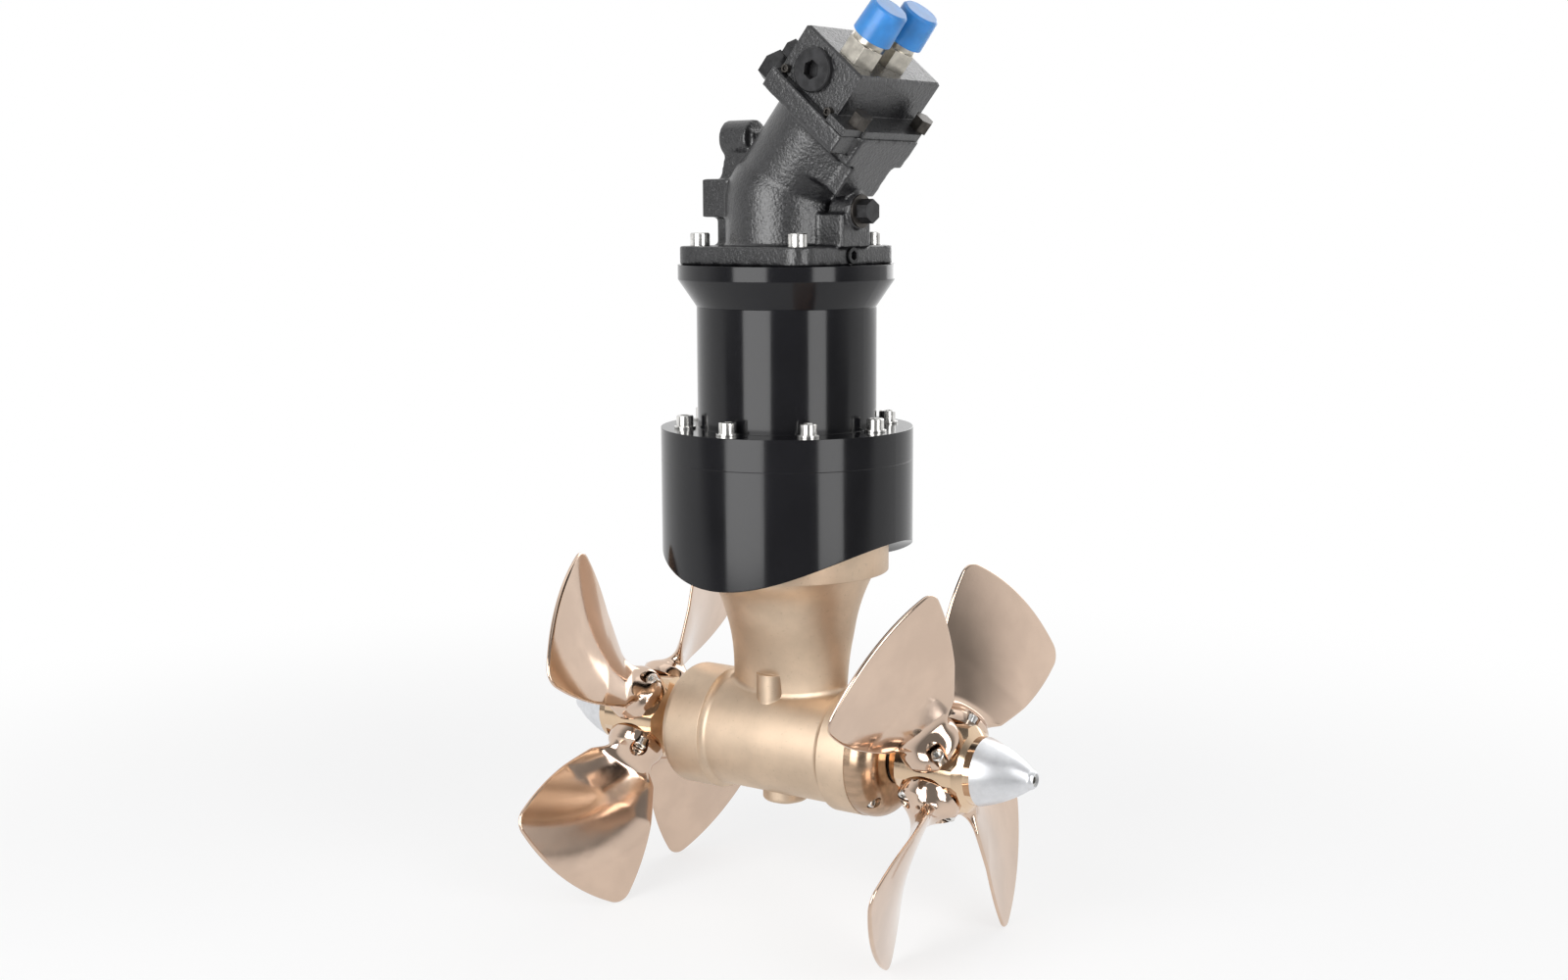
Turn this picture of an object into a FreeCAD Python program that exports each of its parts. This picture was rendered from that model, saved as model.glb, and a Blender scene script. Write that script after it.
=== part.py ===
import FreeCAD, Part

# Hydraulic bow thruster with two counter-rotating propellers, one STEP file per piece.
# Millimetres. X runs along the propeller axis, Z up along the drive shaft, and the origin is
# where the two axes cross. The right-hand propeller is at +X.

import math
import os

from FreeCAD import Vector

# Tunnel and propellers
TUNNEL_OUTER_RADIUS = 200.0
PROPELLER_RADIUS = 190.0
BLADES_PER_PROPELLER = 4
FIRST_BLADE_ANGLE = 45.0
BLADE_PITCH = 340.0          # advance in one turn, outboard
BLADE_ROOT_PITCH = 250.0
BLADE_HALF_WIDTH = 73.0
BLADE_CORNER_RADIUS = 16.0
BLADE_RAKE = 7.0             # how far the tip stands outboard of the foot
HUB_CENTRE = 170.0
LEFT_SHIFT = 5.0             # the left propeller stands this much closer to the leg
HUB_RADIUS = 40.0
FOOT_SEAT = 33.0             # distance from the propeller axis to the flat under a blade foot
FOOT_RADIUS = 29.0
FOOT_EDGE = 38.5
FOOT_CROWN = 56.0
FOOT_SCREW_OFFSET = 22.0
FOOT_SCREW_ANGLE = 40.0
FOOT_POCKET_RADIUS = 8.5
HUB_END = 212.6
CONE_TIP = 263.0
CONE_RADIUS = 31.3

# Gear leg and pod
POD_RADIUS = 54.0
POD_END_RADIUS = 59.0
POD_LEFT_END = -111.0
POD_RIGHT_FACE = 98.5
CARRIER_END = 125.0
CARRIER_FACE_RADIUS = 41.0
CARRIER_SCREW_RADIUS = 51.0
CARRIER_SCREW_FIRST = 44.0
CARRIER_SCREW_SEAT = 112.0
GEAR_CHAMBER_RADIUS = 44.0
LEDGE_RADIUS = 95.5
LEDGE_BOTTOM = 165.5
NECK_FILLET = 6.0            # where the neck meets the pod
NECK_SECTIONS = [            # height, half length along X, half width, offset towards the right
    (165.5, 84.0, 83.9, 0.0), (158.0, 79.5, 78.0, 1.0), (143.6, 73.5, 61.0, 3.0), (126.0, 68.2, 52.0, 3.5),
    (107.0, 65.0, 43.5, 4.0), (88.0, 63.0, 35.5, 3.5), (71.5, 62.3, 30.5, 3.0), (50.0, 62.0, 28.0, 2.0),
    (20.0, 62.0, 27.0, 2.0)]
SPIGOT_RADIUS = 60.0
SPIGOT_TOP = 255.0
DRAIN_BOSS_X = -3.0
DRAIN_BOSS_RADIUS = 22.0
DRAIN_BOSS_BOTTOM = -61.0

# Tunnel flange, bell and adapter
FLANGE_RADIUS = 118.0
SADDLE_TOP = 271.0
BELL_FLANGE_TOP = 300.5
BELL_RADIUS = 83.6
BELL_BORE = 68.0
BELL_TOP = 412.2
ADAPTER_RADIUS = 100.7
ADAPTER_CONE_TOP = 437.4
ADAPTER_TOP = 450.8
FLANGE_BOLT_RADIUS = 96.5
FLANGE_BOLTS = 8
COUPLING_RADIUS = 32.0
JAW_BOTTOM = 346.0
JAW_TOP = 360.0

# Motor, in its own frame: origin on top of the motor flange, leaning towards +X
MOTOR_FLANGE_TOP = 467.9
MOTOR_FLANGE_SIDE = 150.0
MOTOR_FLANGE_CORNER = 18.0
MOTOR_PILOT_RADIUS = 62.5
MOTOR_PILOT_DEPTH = 9.0
MOTOR_BOLT_RADIUS = 80.0
MOTOR_CLOCKING = -4.0
MOTOR_TILT = 40.0
MOTOR_PIVOT = 48.0           # height of the bend above the motor flange
MOTOR_BODY_RADIUS = 56.0
BARREL_HOUSING_RADIUS = 50.0
PLATE_START = 89.0           # along the inclined axis from the bend
PLATE_END = 108.7
PLATE_EDGE = 57.5            # low edge of the end flange, across the lean
KEEL_DEPTH = 62.0
KEEL_WIDTH = 42.6
LEDGE_TOP = 116.0            # seat of the two long bolts on the foot of the connection block
BLOCK_END = 156.1
BLOCK_HALF_DEPTH = 37.2
BLOCK_HALF_WIDTH = 60.5
FITTING_DEPTH = 10.0         # offset of both fittings across the block
FITTING_WIDTHS = (38.0, -9.0)
LEDGE_BOLT = (51.0, 47.0)    # offset of the two long bolts, across and to each side
SIDE_PLUG = (-7.0, 130.0)    # large plug on the block's side: offset across and along
TOP_PLUG_WIDTH = 45.0
CAP_LENGTH = 30.0
CAP_START = 180.0
FITTING_COLLAR_RADIUS = 14.5
FITTING_COLLAR_END = 182.5
FITTING_NOSE_RADIUS = 13.0
DRAIN_SEAT = 84.0            # face of the drain boss, from the axis of the output shaft
DRAIN_HEIGHT = 31.0
PISTONS = 7
PISTON_CIRCLE = 22.0

# Gears and shafts
GEAR_MODULE = 2.8
PINION_TEETH = 16
GEAR_TEETH = 24
GEAR_FACE_WIDTH = 13.0
GEAR_BACKLASH = 0.35
PRESSURE_ANGLE = math.radians(20.0)
SHAFT_RADIUS = 15.0
PROP_SHAFT_START = 22.0
PROP_SHAFT_GEAR_RADIUS = 13.0
BEARING_RADIUS = 31.0
LOWER_BEARING_RADIUS = 24.0
UPPER_BEARING_RADIUS = 33.0
BEARING_WIDTH = 16.0
RUNNING_CLEARANCE = 0.05

ORIGIN = Vector(0, 0, 0)
AXIS_X = Vector(1, 0, 0)
AXIS_Y = Vector(0, 1, 0)
AXIS_Z = Vector(0, 0, 1)


# ---------------------------------------------------------------- shape helpers

def cylinder(radius, start, end, axis=AXIS_Z, centre=ORIGIN):
    """Round bar along an axis, from start to end."""
    return Part.makeCylinder(radius, end - start, centre + axis * start, axis)


def ring(inner, outer, start, end, axis=AXIS_Z, centre=ORIGIN):
    """Tube along an axis."""
    return cylinder(outer, start, end, axis, centre).cut(cylinder(inner, start - 1, end + 1, axis, centre))


def profile_face(steps, place):
    """Closed face from outline steps; a step is a point, or a (middle, end) pair for an arc."""
    edges = []
    here = steps[0]
    for step in steps[1:] + [steps[0]]:
        if isinstance(step[0], tuple):
            middle, end = step
            edges.append(Part.Arc(place(here), place(middle), place(end)).toShape())
        else:
            end = step
            if end != here:
                edges.append(Part.makeLine(place(here), place(end)))
        here = end
    return Part.Face(Part.Wire(edges))


def lathe(steps, axis=AXIS_Z):
    """Turned solid from a profile of (along the axis, radius) points."""
    if axis == AXIS_Z:
        face = profile_face(steps, lambda point: Vector(point[1], 0, point[0]))
    else:
        face = profile_face(steps, lambda point: Vector(point[0], 0, point[1]))
    return face.revolve(ORIGIN, axis, 360)


def rounded_plate(size_x, size_y, corner, bottom, top):
    """Rectangular plate with rounded corners, centred on Z."""
    box = Part.makeBox(size_x, size_y, top - bottom, Vector(-size_x / 2, -size_y / 2, bottom))
    upright = [edge for edge in box.Edges if abs(edge.tangentAt(edge.FirstParameter).z) > 0.9]
    return box.makeFillet(corner, upright)


def hexagon(across_flats, bottom, top):
    """Hexagonal bar on Z."""
    radius = across_flats / math.sqrt(3)
    corners = [Vector(radius * math.cos(math.radians(60 * k)), radius * math.sin(math.radians(60 * k)), bottom)
               for k in range(7)]
    return Part.Face(Part.makePolygon(corners)).extrude(AXIS_Z * (top - bottom))


def turned(shape, angle, axis=AXIS_Z):
    """Copy of a shape turned about an axis through the origin."""
    copy = shape.copy()
    copy.rotate(ORIGIN, axis, angle)
    return copy


def moved(shape, x=0.0, y=0.0, z=0.0):
    """Copy of a shape moved by an offset."""
    copy = shape.copy()
    copy.translate(Vector(x, y, z))
    return copy


def around(shape, count, first=0.0, axis=AXIS_Z):
    """Evenly spaced copies of a shape about an axis."""
    return [turned(shape, first + 360.0 * k / count, axis) for k in range(count)]


def joined(shapes):
    """One solid from overlapping or touching shapes."""
    shapes = list(shapes)
    return shapes[0].fuse(shapes[1:]).removeSplitter()


def group(solids):
    """Separate identical pieces that share one file."""
    return Part.makeCompound(list(solids))


def socket_screw(size, length):
    """Hexagon socket head screw, standing with the underside of its head at z = 0."""
    head_radius = 0.78 * size if size < 12 else 0.75 * size
    head = cylinder(head_radius, 0, size)
    rim = [edge for edge in head.Edges if len(edge.Vertexes) == 1 and edge.CenterOfMass.z > size / 2]
    head = head.makeChamfer(0.08 * size, rim)
    recess = hexagon(0.8 * size, 0.5 * size, size + 1)
    return joined([head, cylinder(size / 2, -length, 0.2)]).cut(recess)


def bearing(inner, outer, start, end, axis):
    """Rolling bearing, with a shallow recess between its rings on both faces."""
    recess = 1.5
    low = inner + 0.3 * (outer - inner)
    high = inner + 0.7 * (outer - inner)
    return lathe([(start, inner), (start, low), (start + recess, low), (start + recess, high), (start, high),
                  (start, outer), (end, outer), (end, high), (end - recess, high), (end - recess, low),
                  (end, low), (end, inner)], axis)


# ---------------------------------------------------------------- bevel gears

def involute(angle):
    return math.tan(angle) - angle


def tooth_gap(teeth, cone_angle, cone_distance):
    """Space between two bevel teeth: an involute gap that narrows towards the apex at the origin."""
    equivalent_radius = GEAR_MODULE * teeth / 2 / math.cos(cone_angle)
    equivalent_teeth = teeth / math.cos(cone_angle)
    base_radius = equivalent_radius * math.cos(PRESSURE_ANGLE)
    element = Vector(math.sin(cone_angle), 0, math.cos(cone_angle))
    outward = Vector(math.cos(cone_angle), 0, -math.sin(cone_angle))
    flank = []
    for depth in (-1.25, -0.8, -0.3, 0.3, 0.8, 1.3):
        radius = equivalent_radius + depth * GEAR_MODULE
        slope = math.acos(min(1.0, base_radius / radius))
        half_tooth = math.pi / 2 / equivalent_teeth - GEAR_BACKLASH / 2 / equivalent_radius
        half_tooth += involute(PRESSURE_ANGLE) - involute(slope)
        half_gap = math.pi / equivalent_teeth - half_tooth
        flank.append((radius * math.sin(half_gap), radius * math.cos(half_gap) - equivalent_radius))
    outline = [(-side, height) for side, height in flank] + flank[::-1]
    wires = []
    for scale in (0.6, 1.15):
        corners = [(element * cone_distance + outward * height + AXIS_Y * side) * scale
                   for side, height in outline]
        wires.append(Part.makePolygon(corners + corners[:1]))
    return Part.makeLoft(wires, True, True)


def bevel_gear(teeth, mate_teeth, bore, hub_radius, hub_back, gap_first):
    """Straight bevel gear on +Z with its apex at the origin."""
    pitch_radius = GEAR_MODULE * teeth / 2
    mate_radius = GEAR_MODULE * mate_teeth / 2
    cone_distance = math.hypot(pitch_radius, mate_radius)
    cone_angle = math.atan2(pitch_radius, mate_radius)
    inner = 1 - GEAR_FACE_WIDTH / cone_distance

    def on_back_cone(depth, scale=1.0):
        along = cone_distance * math.cos(cone_angle) - depth * GEAR_MODULE * math.sin(cone_angle)
        radius = cone_distance * math.sin(cone_angle) + depth * GEAR_MODULE * math.cos(cone_angle)
        return along * scale, radius * scale

    root_along, root_radius = on_back_cone(-1.5)
    blank = lathe([(on_back_cone(-1.5, inner)[0], bore), on_back_cone(-1.5, inner), on_back_cone(1.0, inner),
                   on_back_cone(1.0), (root_along, root_radius), (root_along + 3, hub_radius),
                   (hub_back, hub_radius), (hub_back, bore)])
    gap = tooth_gap(teeth, cone_angle, cone_distance)
    return blank.cut(around(gap, teeth, gap_first))


def make_bevel_pinion():
    return bevel_gear(PINION_TEETH, GEAR_TEETH, 12.0, 17.0, 60.0, 0.0)


def make_right_bevel_gear():
    half_tooth_step = 180.0 / GEAR_TEETH
    gear = bevel_gear(GEAR_TEETH, PINION_TEETH, PROP_SHAFT_GEAR_RADIUS, 22.0, 43.0, half_tooth_step)
    return turned(gear, 90, AXIS_Y)


# ---------------------------------------------------------------- propellers

def blade_section(height, half_width, thickness):
    """Closed lens-shaped wire across the blade at one height above the propeller axis."""
    share = min(1.0, (height - 38.0) / 60.0)
    advance = (BLADE_ROOT_PITCH + (BLADE_PITCH - BLADE_ROOT_PITCH) * share) / (2 * math.pi)
    rake = BLADE_RAKE * (height - FOOT_SEAT) / (PROPELLER_RADIUS - FOOT_SEAT)
    edge = 1.0
    faces = {+1: [], -1: []}
    for fraction in (-1.0, -0.75, -0.4, 0.0, 0.4, 0.75, 1.0):
        across = fraction * half_width
        along = rake - advance * math.atan2(across, height)
        slope = -advance * height / (height ** 2 + across ** 2)
        length = math.hypot(1.0, slope)
        half = edge + (thickness / 2 - edge) * (1 - fraction ** 2)
        for side in faces:
            faces[side].append(Vector(along + side * half / length, -(across - side * half * slope / length),
                                      height))
    edges = []
    for side in faces:
        curve = Part.BSplineCurve()
        curve.interpolate(faces[side])
        edges.append(curve.toShape())
    ends = [Part.makeLine(faces[+1][k], faces[-1][k]) for k in (-1, 0)]
    return Part.Wire([edges[0], ends[0], edges[1], ends[1]])


def blade_outline():
    """Prism that rounds the two outer corners of a blade and ends it at the propeller radius."""
    centre_across = BLADE_HALF_WIDTH - BLADE_CORNER_RADIUS
    centre_height = math.sqrt((PROPELLER_RADIUS - BLADE_CORNER_RADIUS) ** 2 - centre_across ** 2)
    meeting = math.atan2(centre_height, centre_across)

    def on_corner(angle):
        return (centre_across + BLADE_CORNER_RADIUS * math.cos(angle),
                centre_height + BLADE_CORNER_RADIUS * math.sin(angle))

    right = on_corner(meeting)
    right_middle = on_corner(meeting / 2)
    steps = [(BLADE_HALF_WIDTH, 0.0), (BLADE_HALF_WIDTH, centre_height), (right_middle, right),
             ((0.0, PROPELLER_RADIUS), (-right[0], right[1])),
             ((-right_middle[0], right_middle[1]), (-BLADE_HALF_WIDTH, centre_height)),
             (-BLADE_HALF_WIDTH, 0.0)]
    face = profile_face(steps, lambda point: Vector(-100, point[0], point[1]))
    return face.extrude(AXIS_X * 200)


def foot_screw_places():
    """The two screws of a blade foot, one each side of the blade: (along X, along Y)."""
    along = FOOT_SCREW_OFFSET * math.cos(math.radians(FOOT_SCREW_ANGLE))
    across = -FOOT_SCREW_OFFSET * math.sin(math.radians(FOOT_SCREW_ANGLE))
    return [(along, across), (-along, -across)]


def make_blade():
    """Blade standing on +Z, its foot centred on the hub centre line at x = 0."""
    stations = [(38.0, 17.0, 15.0), (50.0, 23.0, 12.5), (75.0, 38.0, 10.0), (105.0, 54.0, 8.2),
                (135.0, 66.0, 6.8), (165.0, 73.5, 5.4), (196.0, 76.0, 4.2)]
    paddle = Part.makeLoft([blade_section(*station) for station in stations], True, False)
    paddle = paddle.common(blade_outline())
    foot = lathe([(FOOT_SEAT, 0.0), (FOOT_SEAT, FOOT_RADIUS), (FOOT_EDGE, FOOT_RADIUS),
                  ((FOOT_CROWN - 6.0, 0.6 * FOOT_RADIUS), (FOOT_CROWN, 0.0))])
    blade = joined([foot, paddle])
    for along, across in foot_screw_places():
        centre = Vector(along, across, 0)
        blade = blade.cut(cylinder(FOOT_POCKET_RADIUS, FOOT_EDGE - 1, 70, AXIS_Z, centre))
        blade = blade.cut(cylinder(4.3, FOOT_SEAT - 1, FOOT_EDGE, AXIS_Z, centre))
    return moved(blade, x=HUB_CENTRE)


def blade_screws():
    screw = socket_screw(8.0, 18.0)
    pair = [moved(screw, HUB_CENTRE + along, across, FOOT_EDGE - 1) for along, across in foot_screw_places()]
    return [turned(one, blade_angle(k) - 90, AXIS_X) for k in range(BLADES_PER_PROPELLER) for one in pair]


def blade_angle(index):
    """Direction of a blade about the propeller axis, from +Y towards +Z."""
    return FIRST_BLADE_ANGLE + 360.0 * index / BLADES_PER_PROPELLER


def make_hub(neck_start):
    """Hub with a flat seat for each blade foot and a tapered bore."""
    body = lathe([(neck_start, 0.0), (neck_start, 25.0), (134.0, 27.0), (141.0, HUB_RADIUS),
                  (199.0, HUB_RADIUS), (206.0, CONE_RADIUS), (HUB_END, CONE_RADIUS), (HUB_END, 0.0)], AXIS_X)
    seat_cut = Part.makeBox(2 * FOOT_RADIUS + 6, 100, 20, Vector(HUB_CENTRE - FOOT_RADIUS - 3, -50, FOOT_SEAT))
    body = body.cut(around(seat_cut, BLADES_PER_PROPELLER, FIRST_BLADE_ANGLE - 90, AXIS_X))
    bore = lathe([(neck_start - 1, 0.0), (neck_start - 1, SHAFT_RADIUS), (130.0, SHAFT_RADIUS),
                  (205.0, 11.0), (205.0, 0.0)], AXIS_X)
    body = body.cut(bore).cut(cylinder(4.0, 200, HUB_END + 1, AXIS_X))
    threads = []
    for along, across in foot_screw_places():
        hole = cylinder(4.0, FOOT_EDGE - 19, FOOT_EDGE, AXIS_Z, Vector(HUB_CENTRE + along, across, 0))
        threads += around(hole, BLADES_PER_PROPELLER, FIRST_BLADE_ANGLE - 90, AXIS_X)
    return body.cut(threads)


def make_prop_shaft():
    """Propeller shaft: gear seat, bearing length and tapered hub seat."""
    shaft = lathe([(PROP_SHAFT_START, 0.0), (PROP_SHAFT_START, PROP_SHAFT_GEAR_RADIUS),
                   (43.0, PROP_SHAFT_GEAR_RADIUS), (43.0, SHAFT_RADIUS), (130.0, SHAFT_RADIUS),
                   (205.0, 11.0), (205.0, 0.0)], AXIS_X)
    return shaft.cut(cylinder(4.0, 188, 206, AXIS_X))


def make_nose_cone():
    """Sacrificial nose cone, slightly bulged, with a recess for its screw at the tip."""
    cone = lathe([(HUB_END, 0.0), (HUB_END, CONE_RADIUS), ((240.0, 20.8), (258.5, 9.2)),
                  ((262.0, 7.6), (CONE_TIP, 6.6)), (CONE_TIP, 0.0)], AXIS_X)
    return cone.cut(cylinder(5.8, 252, CONE_TIP + 1, AXIS_X)).cut(cylinder(4.0, HUB_END - 1, 253, AXIS_X))


def make_nose_screw():
    shank = cylinder(4.0, 190, 252.5, AXIS_X)
    head = cylinder(5.8, 252, CONE_TIP - 1.5, AXIS_X)
    recess = turned(hexagon(6.0, 256, CONE_TIP + 1), 90, AXIS_Y)
    return joined([shank, head]).cut(recess)


def on_left(shape):
    """Mirror image of a right-hand piece, for the left propeller."""
    return moved(shape.mirror(ORIGIN, AXIS_X), x=LEFT_SHIFT)


def make_left_prop_shaft():
    """The left shaft keeps the gear seat of the right one and ends with the shifted hub seat."""
    outer = on_left(make_prop_shaft())
    inner = make_prop_shaft().mirror(ORIGIN, AXIS_X)
    keep_inner = Part.makeBox(80, 100, 100, Vector(-100, -50, -50))
    keep_outer = Part.makeBox(200, 100, 100, Vector(-300, -50, -50))
    return joined([inner.common(keep_inner), outer.common(keep_outer)])


# ---------------------------------------------------------------- gear leg

def neck_section(height, half_length, half_width, offset):
    """Oval section of the neck."""
    centre = Vector(offset, 0, height)
    return Part.Wire([Part.Ellipse(centre + AXIS_X * half_length, centre + AXIS_Y * half_width, centre).toShape()])


def make_neck_and_core():
    """Oval neck standing on the plain core of the pod, with a fillet where they meet."""
    neck = Part.makeLoft([neck_section(*section) for section in NECK_SECTIONS], True, False)
    body = joined([neck, cylinder(POD_RADIUS, POD_LEFT_END + 6, POD_RIGHT_FACE - 3.5, AXIS_X)])
    junction = [edge for edge in body.Edges
                if isinstance(edge.Curve, Part.BSplineCurve) and edge.CenterOfMass.z < 100]
    return body.makeFillet(NECK_FILLET, junction)


def make_gear_leg():
    """Bronze casting: tunnel ledge and spigot, oval neck, and the pod round the bevel gears."""
    ledge = cylinder(LEDGE_RADIUS, LEDGE_BOTTOM, TUNNEL_OUTER_RADIUS + 5)
    ledge = ledge.common(cylinder(TUNNEL_OUTER_RADIUS, -150, 150, AXIS_X))
    spigot = cylinder(SPIGOT_RADIUS, LEDGE_BOTTOM, SPIGOT_TOP)
    pod = lathe([(POD_LEFT_END, 0.0), (POD_LEFT_END, POD_END_RADIUS - 8.5),
                 ((POD_LEFT_END + 2.5, POD_END_RADIUS - 2.5), (POD_LEFT_END + 8.5, POD_END_RADIUS)),
                 (-66.0, POD_END_RADIUS), ((-63.5, POD_RADIUS + 1.5), (-58.0, POD_RADIUS)),
                 (61.0, POD_RADIUS), ((66.5, POD_RADIUS + 1.5), (69.0, POD_END_RADIUS)),
                 (POD_RIGHT_FACE, POD_END_RADIUS), (POD_RIGHT_FACE, 0.0)], AXIS_X)
    front_boss = cylinder(15.7, 20.0, 67.0, AXIS_Z, Vector(-3, -21, 0))
    drain_boss = cylinder(DRAIN_BOSS_RADIUS, DRAIN_BOSS_BOTTOM, -20.0)
    low_edge = [edge for edge in drain_boss.Edges if edge.CenterOfMass.z < DRAIN_BOSS_BOTTOM + 1]
    drain_boss = moved(drain_boss.makeFillet(3.5, low_edge), x=DRAIN_BOSS_X)
    leg = joined([make_neck_and_core(), pod, front_boss, ledge, spigot, drain_boss])
    leg = leg.cut(cylinder(GEAR_CHAMBER_RADIUS, -42.0, POD_RIGHT_FACE + 1, AXIS_X))
    leg = leg.cut(cylinder(BEARING_RADIUS, -96.0, -41.0, AXIS_X))
    leg = leg.cut(cylinder(17.0, -100.0, -95.0, AXIS_X))
    leg = leg.cut(cylinder(24.0, POD_LEFT_END - 1, -99.0, AXIS_X))
    leg = leg.cut(cylinder(27.5, 0.0, 41.0))
    leg = leg.cut(cylinder(LOWER_BEARING_RADIUS, 40.0, 80.0))
    leg = leg.cut(cylinder(21.0, 79.0, 152.0))
    leg = leg.cut(cylinder(28.0, 150.0, 220.0))
    leg = leg.cut(cylinder(UPPER_BEARING_RADIUS, 214.0, SPIGOT_TOP + 1))
    leg = leg.cut(ring(SPIGOT_RADIUS - 3, SPIGOT_RADIUS + 5, 230.0, 235.0))
    leg = leg.cut(cylinder(8.0, DRAIN_BOSS_BOTTOM - 1, -30.0, AXIS_Z, Vector(DRAIN_BOSS_X, 0, 0)))
    leg = leg.cut(around(cylinder(6.0, 215.0, SPIGOT_TOP + 1, AXIS_Z, Vector(48, 0, 0)), 4, 45))
    return leg.cut(around(carrier_screw_hole(), 4, CARRIER_SCREW_FIRST, AXIS_X))


def carrier_screw_hole():
    return cylinder(3.0, CARRIER_SCREW_SEAT - 32, CARRIER_SCREW_SEAT + 1, AXIS_X,
                    Vector(0, CARRIER_SCREW_RADIUS, 0))


def make_bearing_carrier():
    """End cap of the pod; its spigot carries both bearings of the right-hand shaft."""
    body = lathe([(44.0, 0.0), (44.0, GEAR_CHAMBER_RADIUS), (POD_RIGHT_FACE, GEAR_CHAMBER_RADIUS),
                  (POD_RIGHT_FACE, POD_END_RADIUS - 0.5), (105.0, POD_END_RADIUS - 0.5),
                  ((117.0, 54.5), (CARRIER_END, CARRIER_FACE_RADIUS)), (CARRIER_END, 0.0)], AXIS_X)
    body = body.cut(cylinder(BEARING_RADIUS, 43.0, 96.0, AXIS_X))
    body = body.cut(cylinder(17.0, 95.0, 114.0, AXIS_X)).cut(cylinder(24.0, 113.0, CARRIER_END + 1, AXIS_X))
    pocket = cylinder(5.5, CARRIER_SCREW_SEAT, CARRIER_END + 1, AXIS_X, Vector(0, CARRIER_SCREW_RADIUS, 0))
    for cutter in (carrier_screw_hole(), pocket):
        body = body.cut(around(cutter, 4, CARRIER_SCREW_FIRST, AXIS_X))
    return body


def make_carrier_screws():
    screw = turned(socket_screw(6.0, 30.0), 90, AXIS_Y)
    screw = moved(screw, x=CARRIER_SCREW_SEAT, y=CARRIER_SCREW_RADIUS)
    return group(around(screw, 4, CARRIER_SCREW_FIRST, AXIS_X))


def make_prop_shaft_bearings():
    inner = SHAFT_RADIUS + RUNNING_CLEARANCE
    right = [bearing(inner, BEARING_RADIUS, start, start + BEARING_WIDTH, AXIS_X) for start in (44.0, 79.0)]
    left = [one.mirror(ORIGIN, AXIS_X) for one in right]
    return group(right + left)


def make_prop_shaft_seals():
    inner = SHAFT_RADIUS + RUNNING_CLEARANCE
    return group([ring(inner, 24.0, 114.0, 123.0, AXIS_X), ring(inner, 24.0, -109.0, -100.0, AXIS_X)])


def make_gear_oil_plug():
    """Drain plug in the boss under the pod."""
    plug = joined([cylinder(12.0, DRAIN_BOSS_BOTTOM - 2.5, DRAIN_BOSS_BOTTOM),
                   cylinder(8.0, DRAIN_BOSS_BOTTOM - 0.5, DRAIN_BOSS_BOTTOM + 17)])
    return moved(plug.cut(hexagon(8.0, DRAIN_BOSS_BOTTOM - 4, DRAIN_BOSS_BOTTOM + 6)), x=DRAIN_BOSS_X)


def make_drive_shaft():
    """Vertical shaft from the coupling down to the pinion."""
    return lathe([(28.0, 0.0), (28.0, 12.0), (60.0, 12.0), (60.0, SHAFT_RADIUS), (80.0, SHAFT_RADIUS),
                  (80.0, 18.0), (214.0, 18.0), (214.0, SHAFT_RADIUS), (262.0, SHAFT_RADIUS), (262.0, 14.0),
                  (344.0, 14.0), (344.0, 0.0)])


def make_drive_shaft_bearings():
    inner = SHAFT_RADIUS + RUNNING_CLEARANCE
    return group([bearing(inner, outer, start, start + BEARING_WIDTH, AXIS_Z)
                  for outer, start in ((LOWER_BEARING_RADIUS, 63.0), (UPPER_BEARING_RADIUS, 214.5))])


def make_drive_shaft_seal():
    return ring(SHAFT_RADIUS + RUNNING_CLEARANCE, UPPER_BEARING_RADIUS, 243.0, 253.0)


# ---------------------------------------------------------------- tunnel flange, bell, coupling

def make_saddle_flange():
    """Flange whose underside is the saddle that sits on the outside of the tunnel."""
    body = cylinder(FLANGE_RADIUS, 100.0, SADDLE_TOP).cut(cylinder(TUNNEL_OUTER_RADIUS, -150, 150, AXIS_X))
    body = body.cut(cylinder(SPIGOT_RADIUS, 100.0, SPIGOT_TOP)).cut(cylinder(36.0, SPIGOT_TOP - 1, 280))
    body = body.cut(around(cylinder(6.5, SPIGOT_TOP - 1, 280, AXIS_Z, Vector(48, 0, 0)), 4, 45))
    return body.cut(around(flange_screw_hole(), FLANGE_BOLTS))


def flange_screw_hole():
    return cylinder(5.0, 214.0, BELL_FLANGE_TOP + 1, AXIS_Z, Vector(FLANGE_BOLT_RADIUS, 0, 0))


def make_bell_housing():
    tube = cylinder(BELL_RADIUS, SADDLE_TOP, BELL_TOP)
    flange = cylinder(FLANGE_RADIUS, SADDLE_TOP, BELL_FLANGE_TOP)
    body = joined([tube, flange]).cut(cylinder(BELL_BORE, SADDLE_TOP - 1, BELL_TOP + 1))
    body = body.cut(around(adapter_screw_hole(), 4, MOTOR_CLOCKING))
    return body.cut(around(flange_screw_hole(), FLANGE_BOLTS))


def adapter_screw_hole():
    return cylinder(4.0, 394.0, 430.0, AXIS_Z, Vector(76, 0, 0))


def make_motor_adapter():
    """Ring between the bell and the motor, with a bore for the motor's pilot."""
    body = lathe([(BELL_TOP, MOTOR_PILOT_RADIUS), (BELL_TOP, BELL_RADIUS), (ADAPTER_CONE_TOP, ADAPTER_RADIUS),
                  (ADAPTER_TOP, ADAPTER_RADIUS), (ADAPTER_TOP, MOTOR_PILOT_RADIUS)])
    pocket = cylinder(7.0, 426.0, ADAPTER_TOP + 1, AXIS_Z, Vector(76, 0, 0))
    body = body.cut(around(pocket, 4, MOTOR_CLOCKING)).cut(around(adapter_screw_hole(), 4, MOTOR_CLOCKING))
    thread = cylinder(6.0, 424.0, ADAPTER_TOP + 1, AXIS_Z, Vector(MOTOR_BOLT_RADIUS, 0, 0))
    return body.cut(around(thread, 4, MOTOR_CLOCKING + 45))


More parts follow.
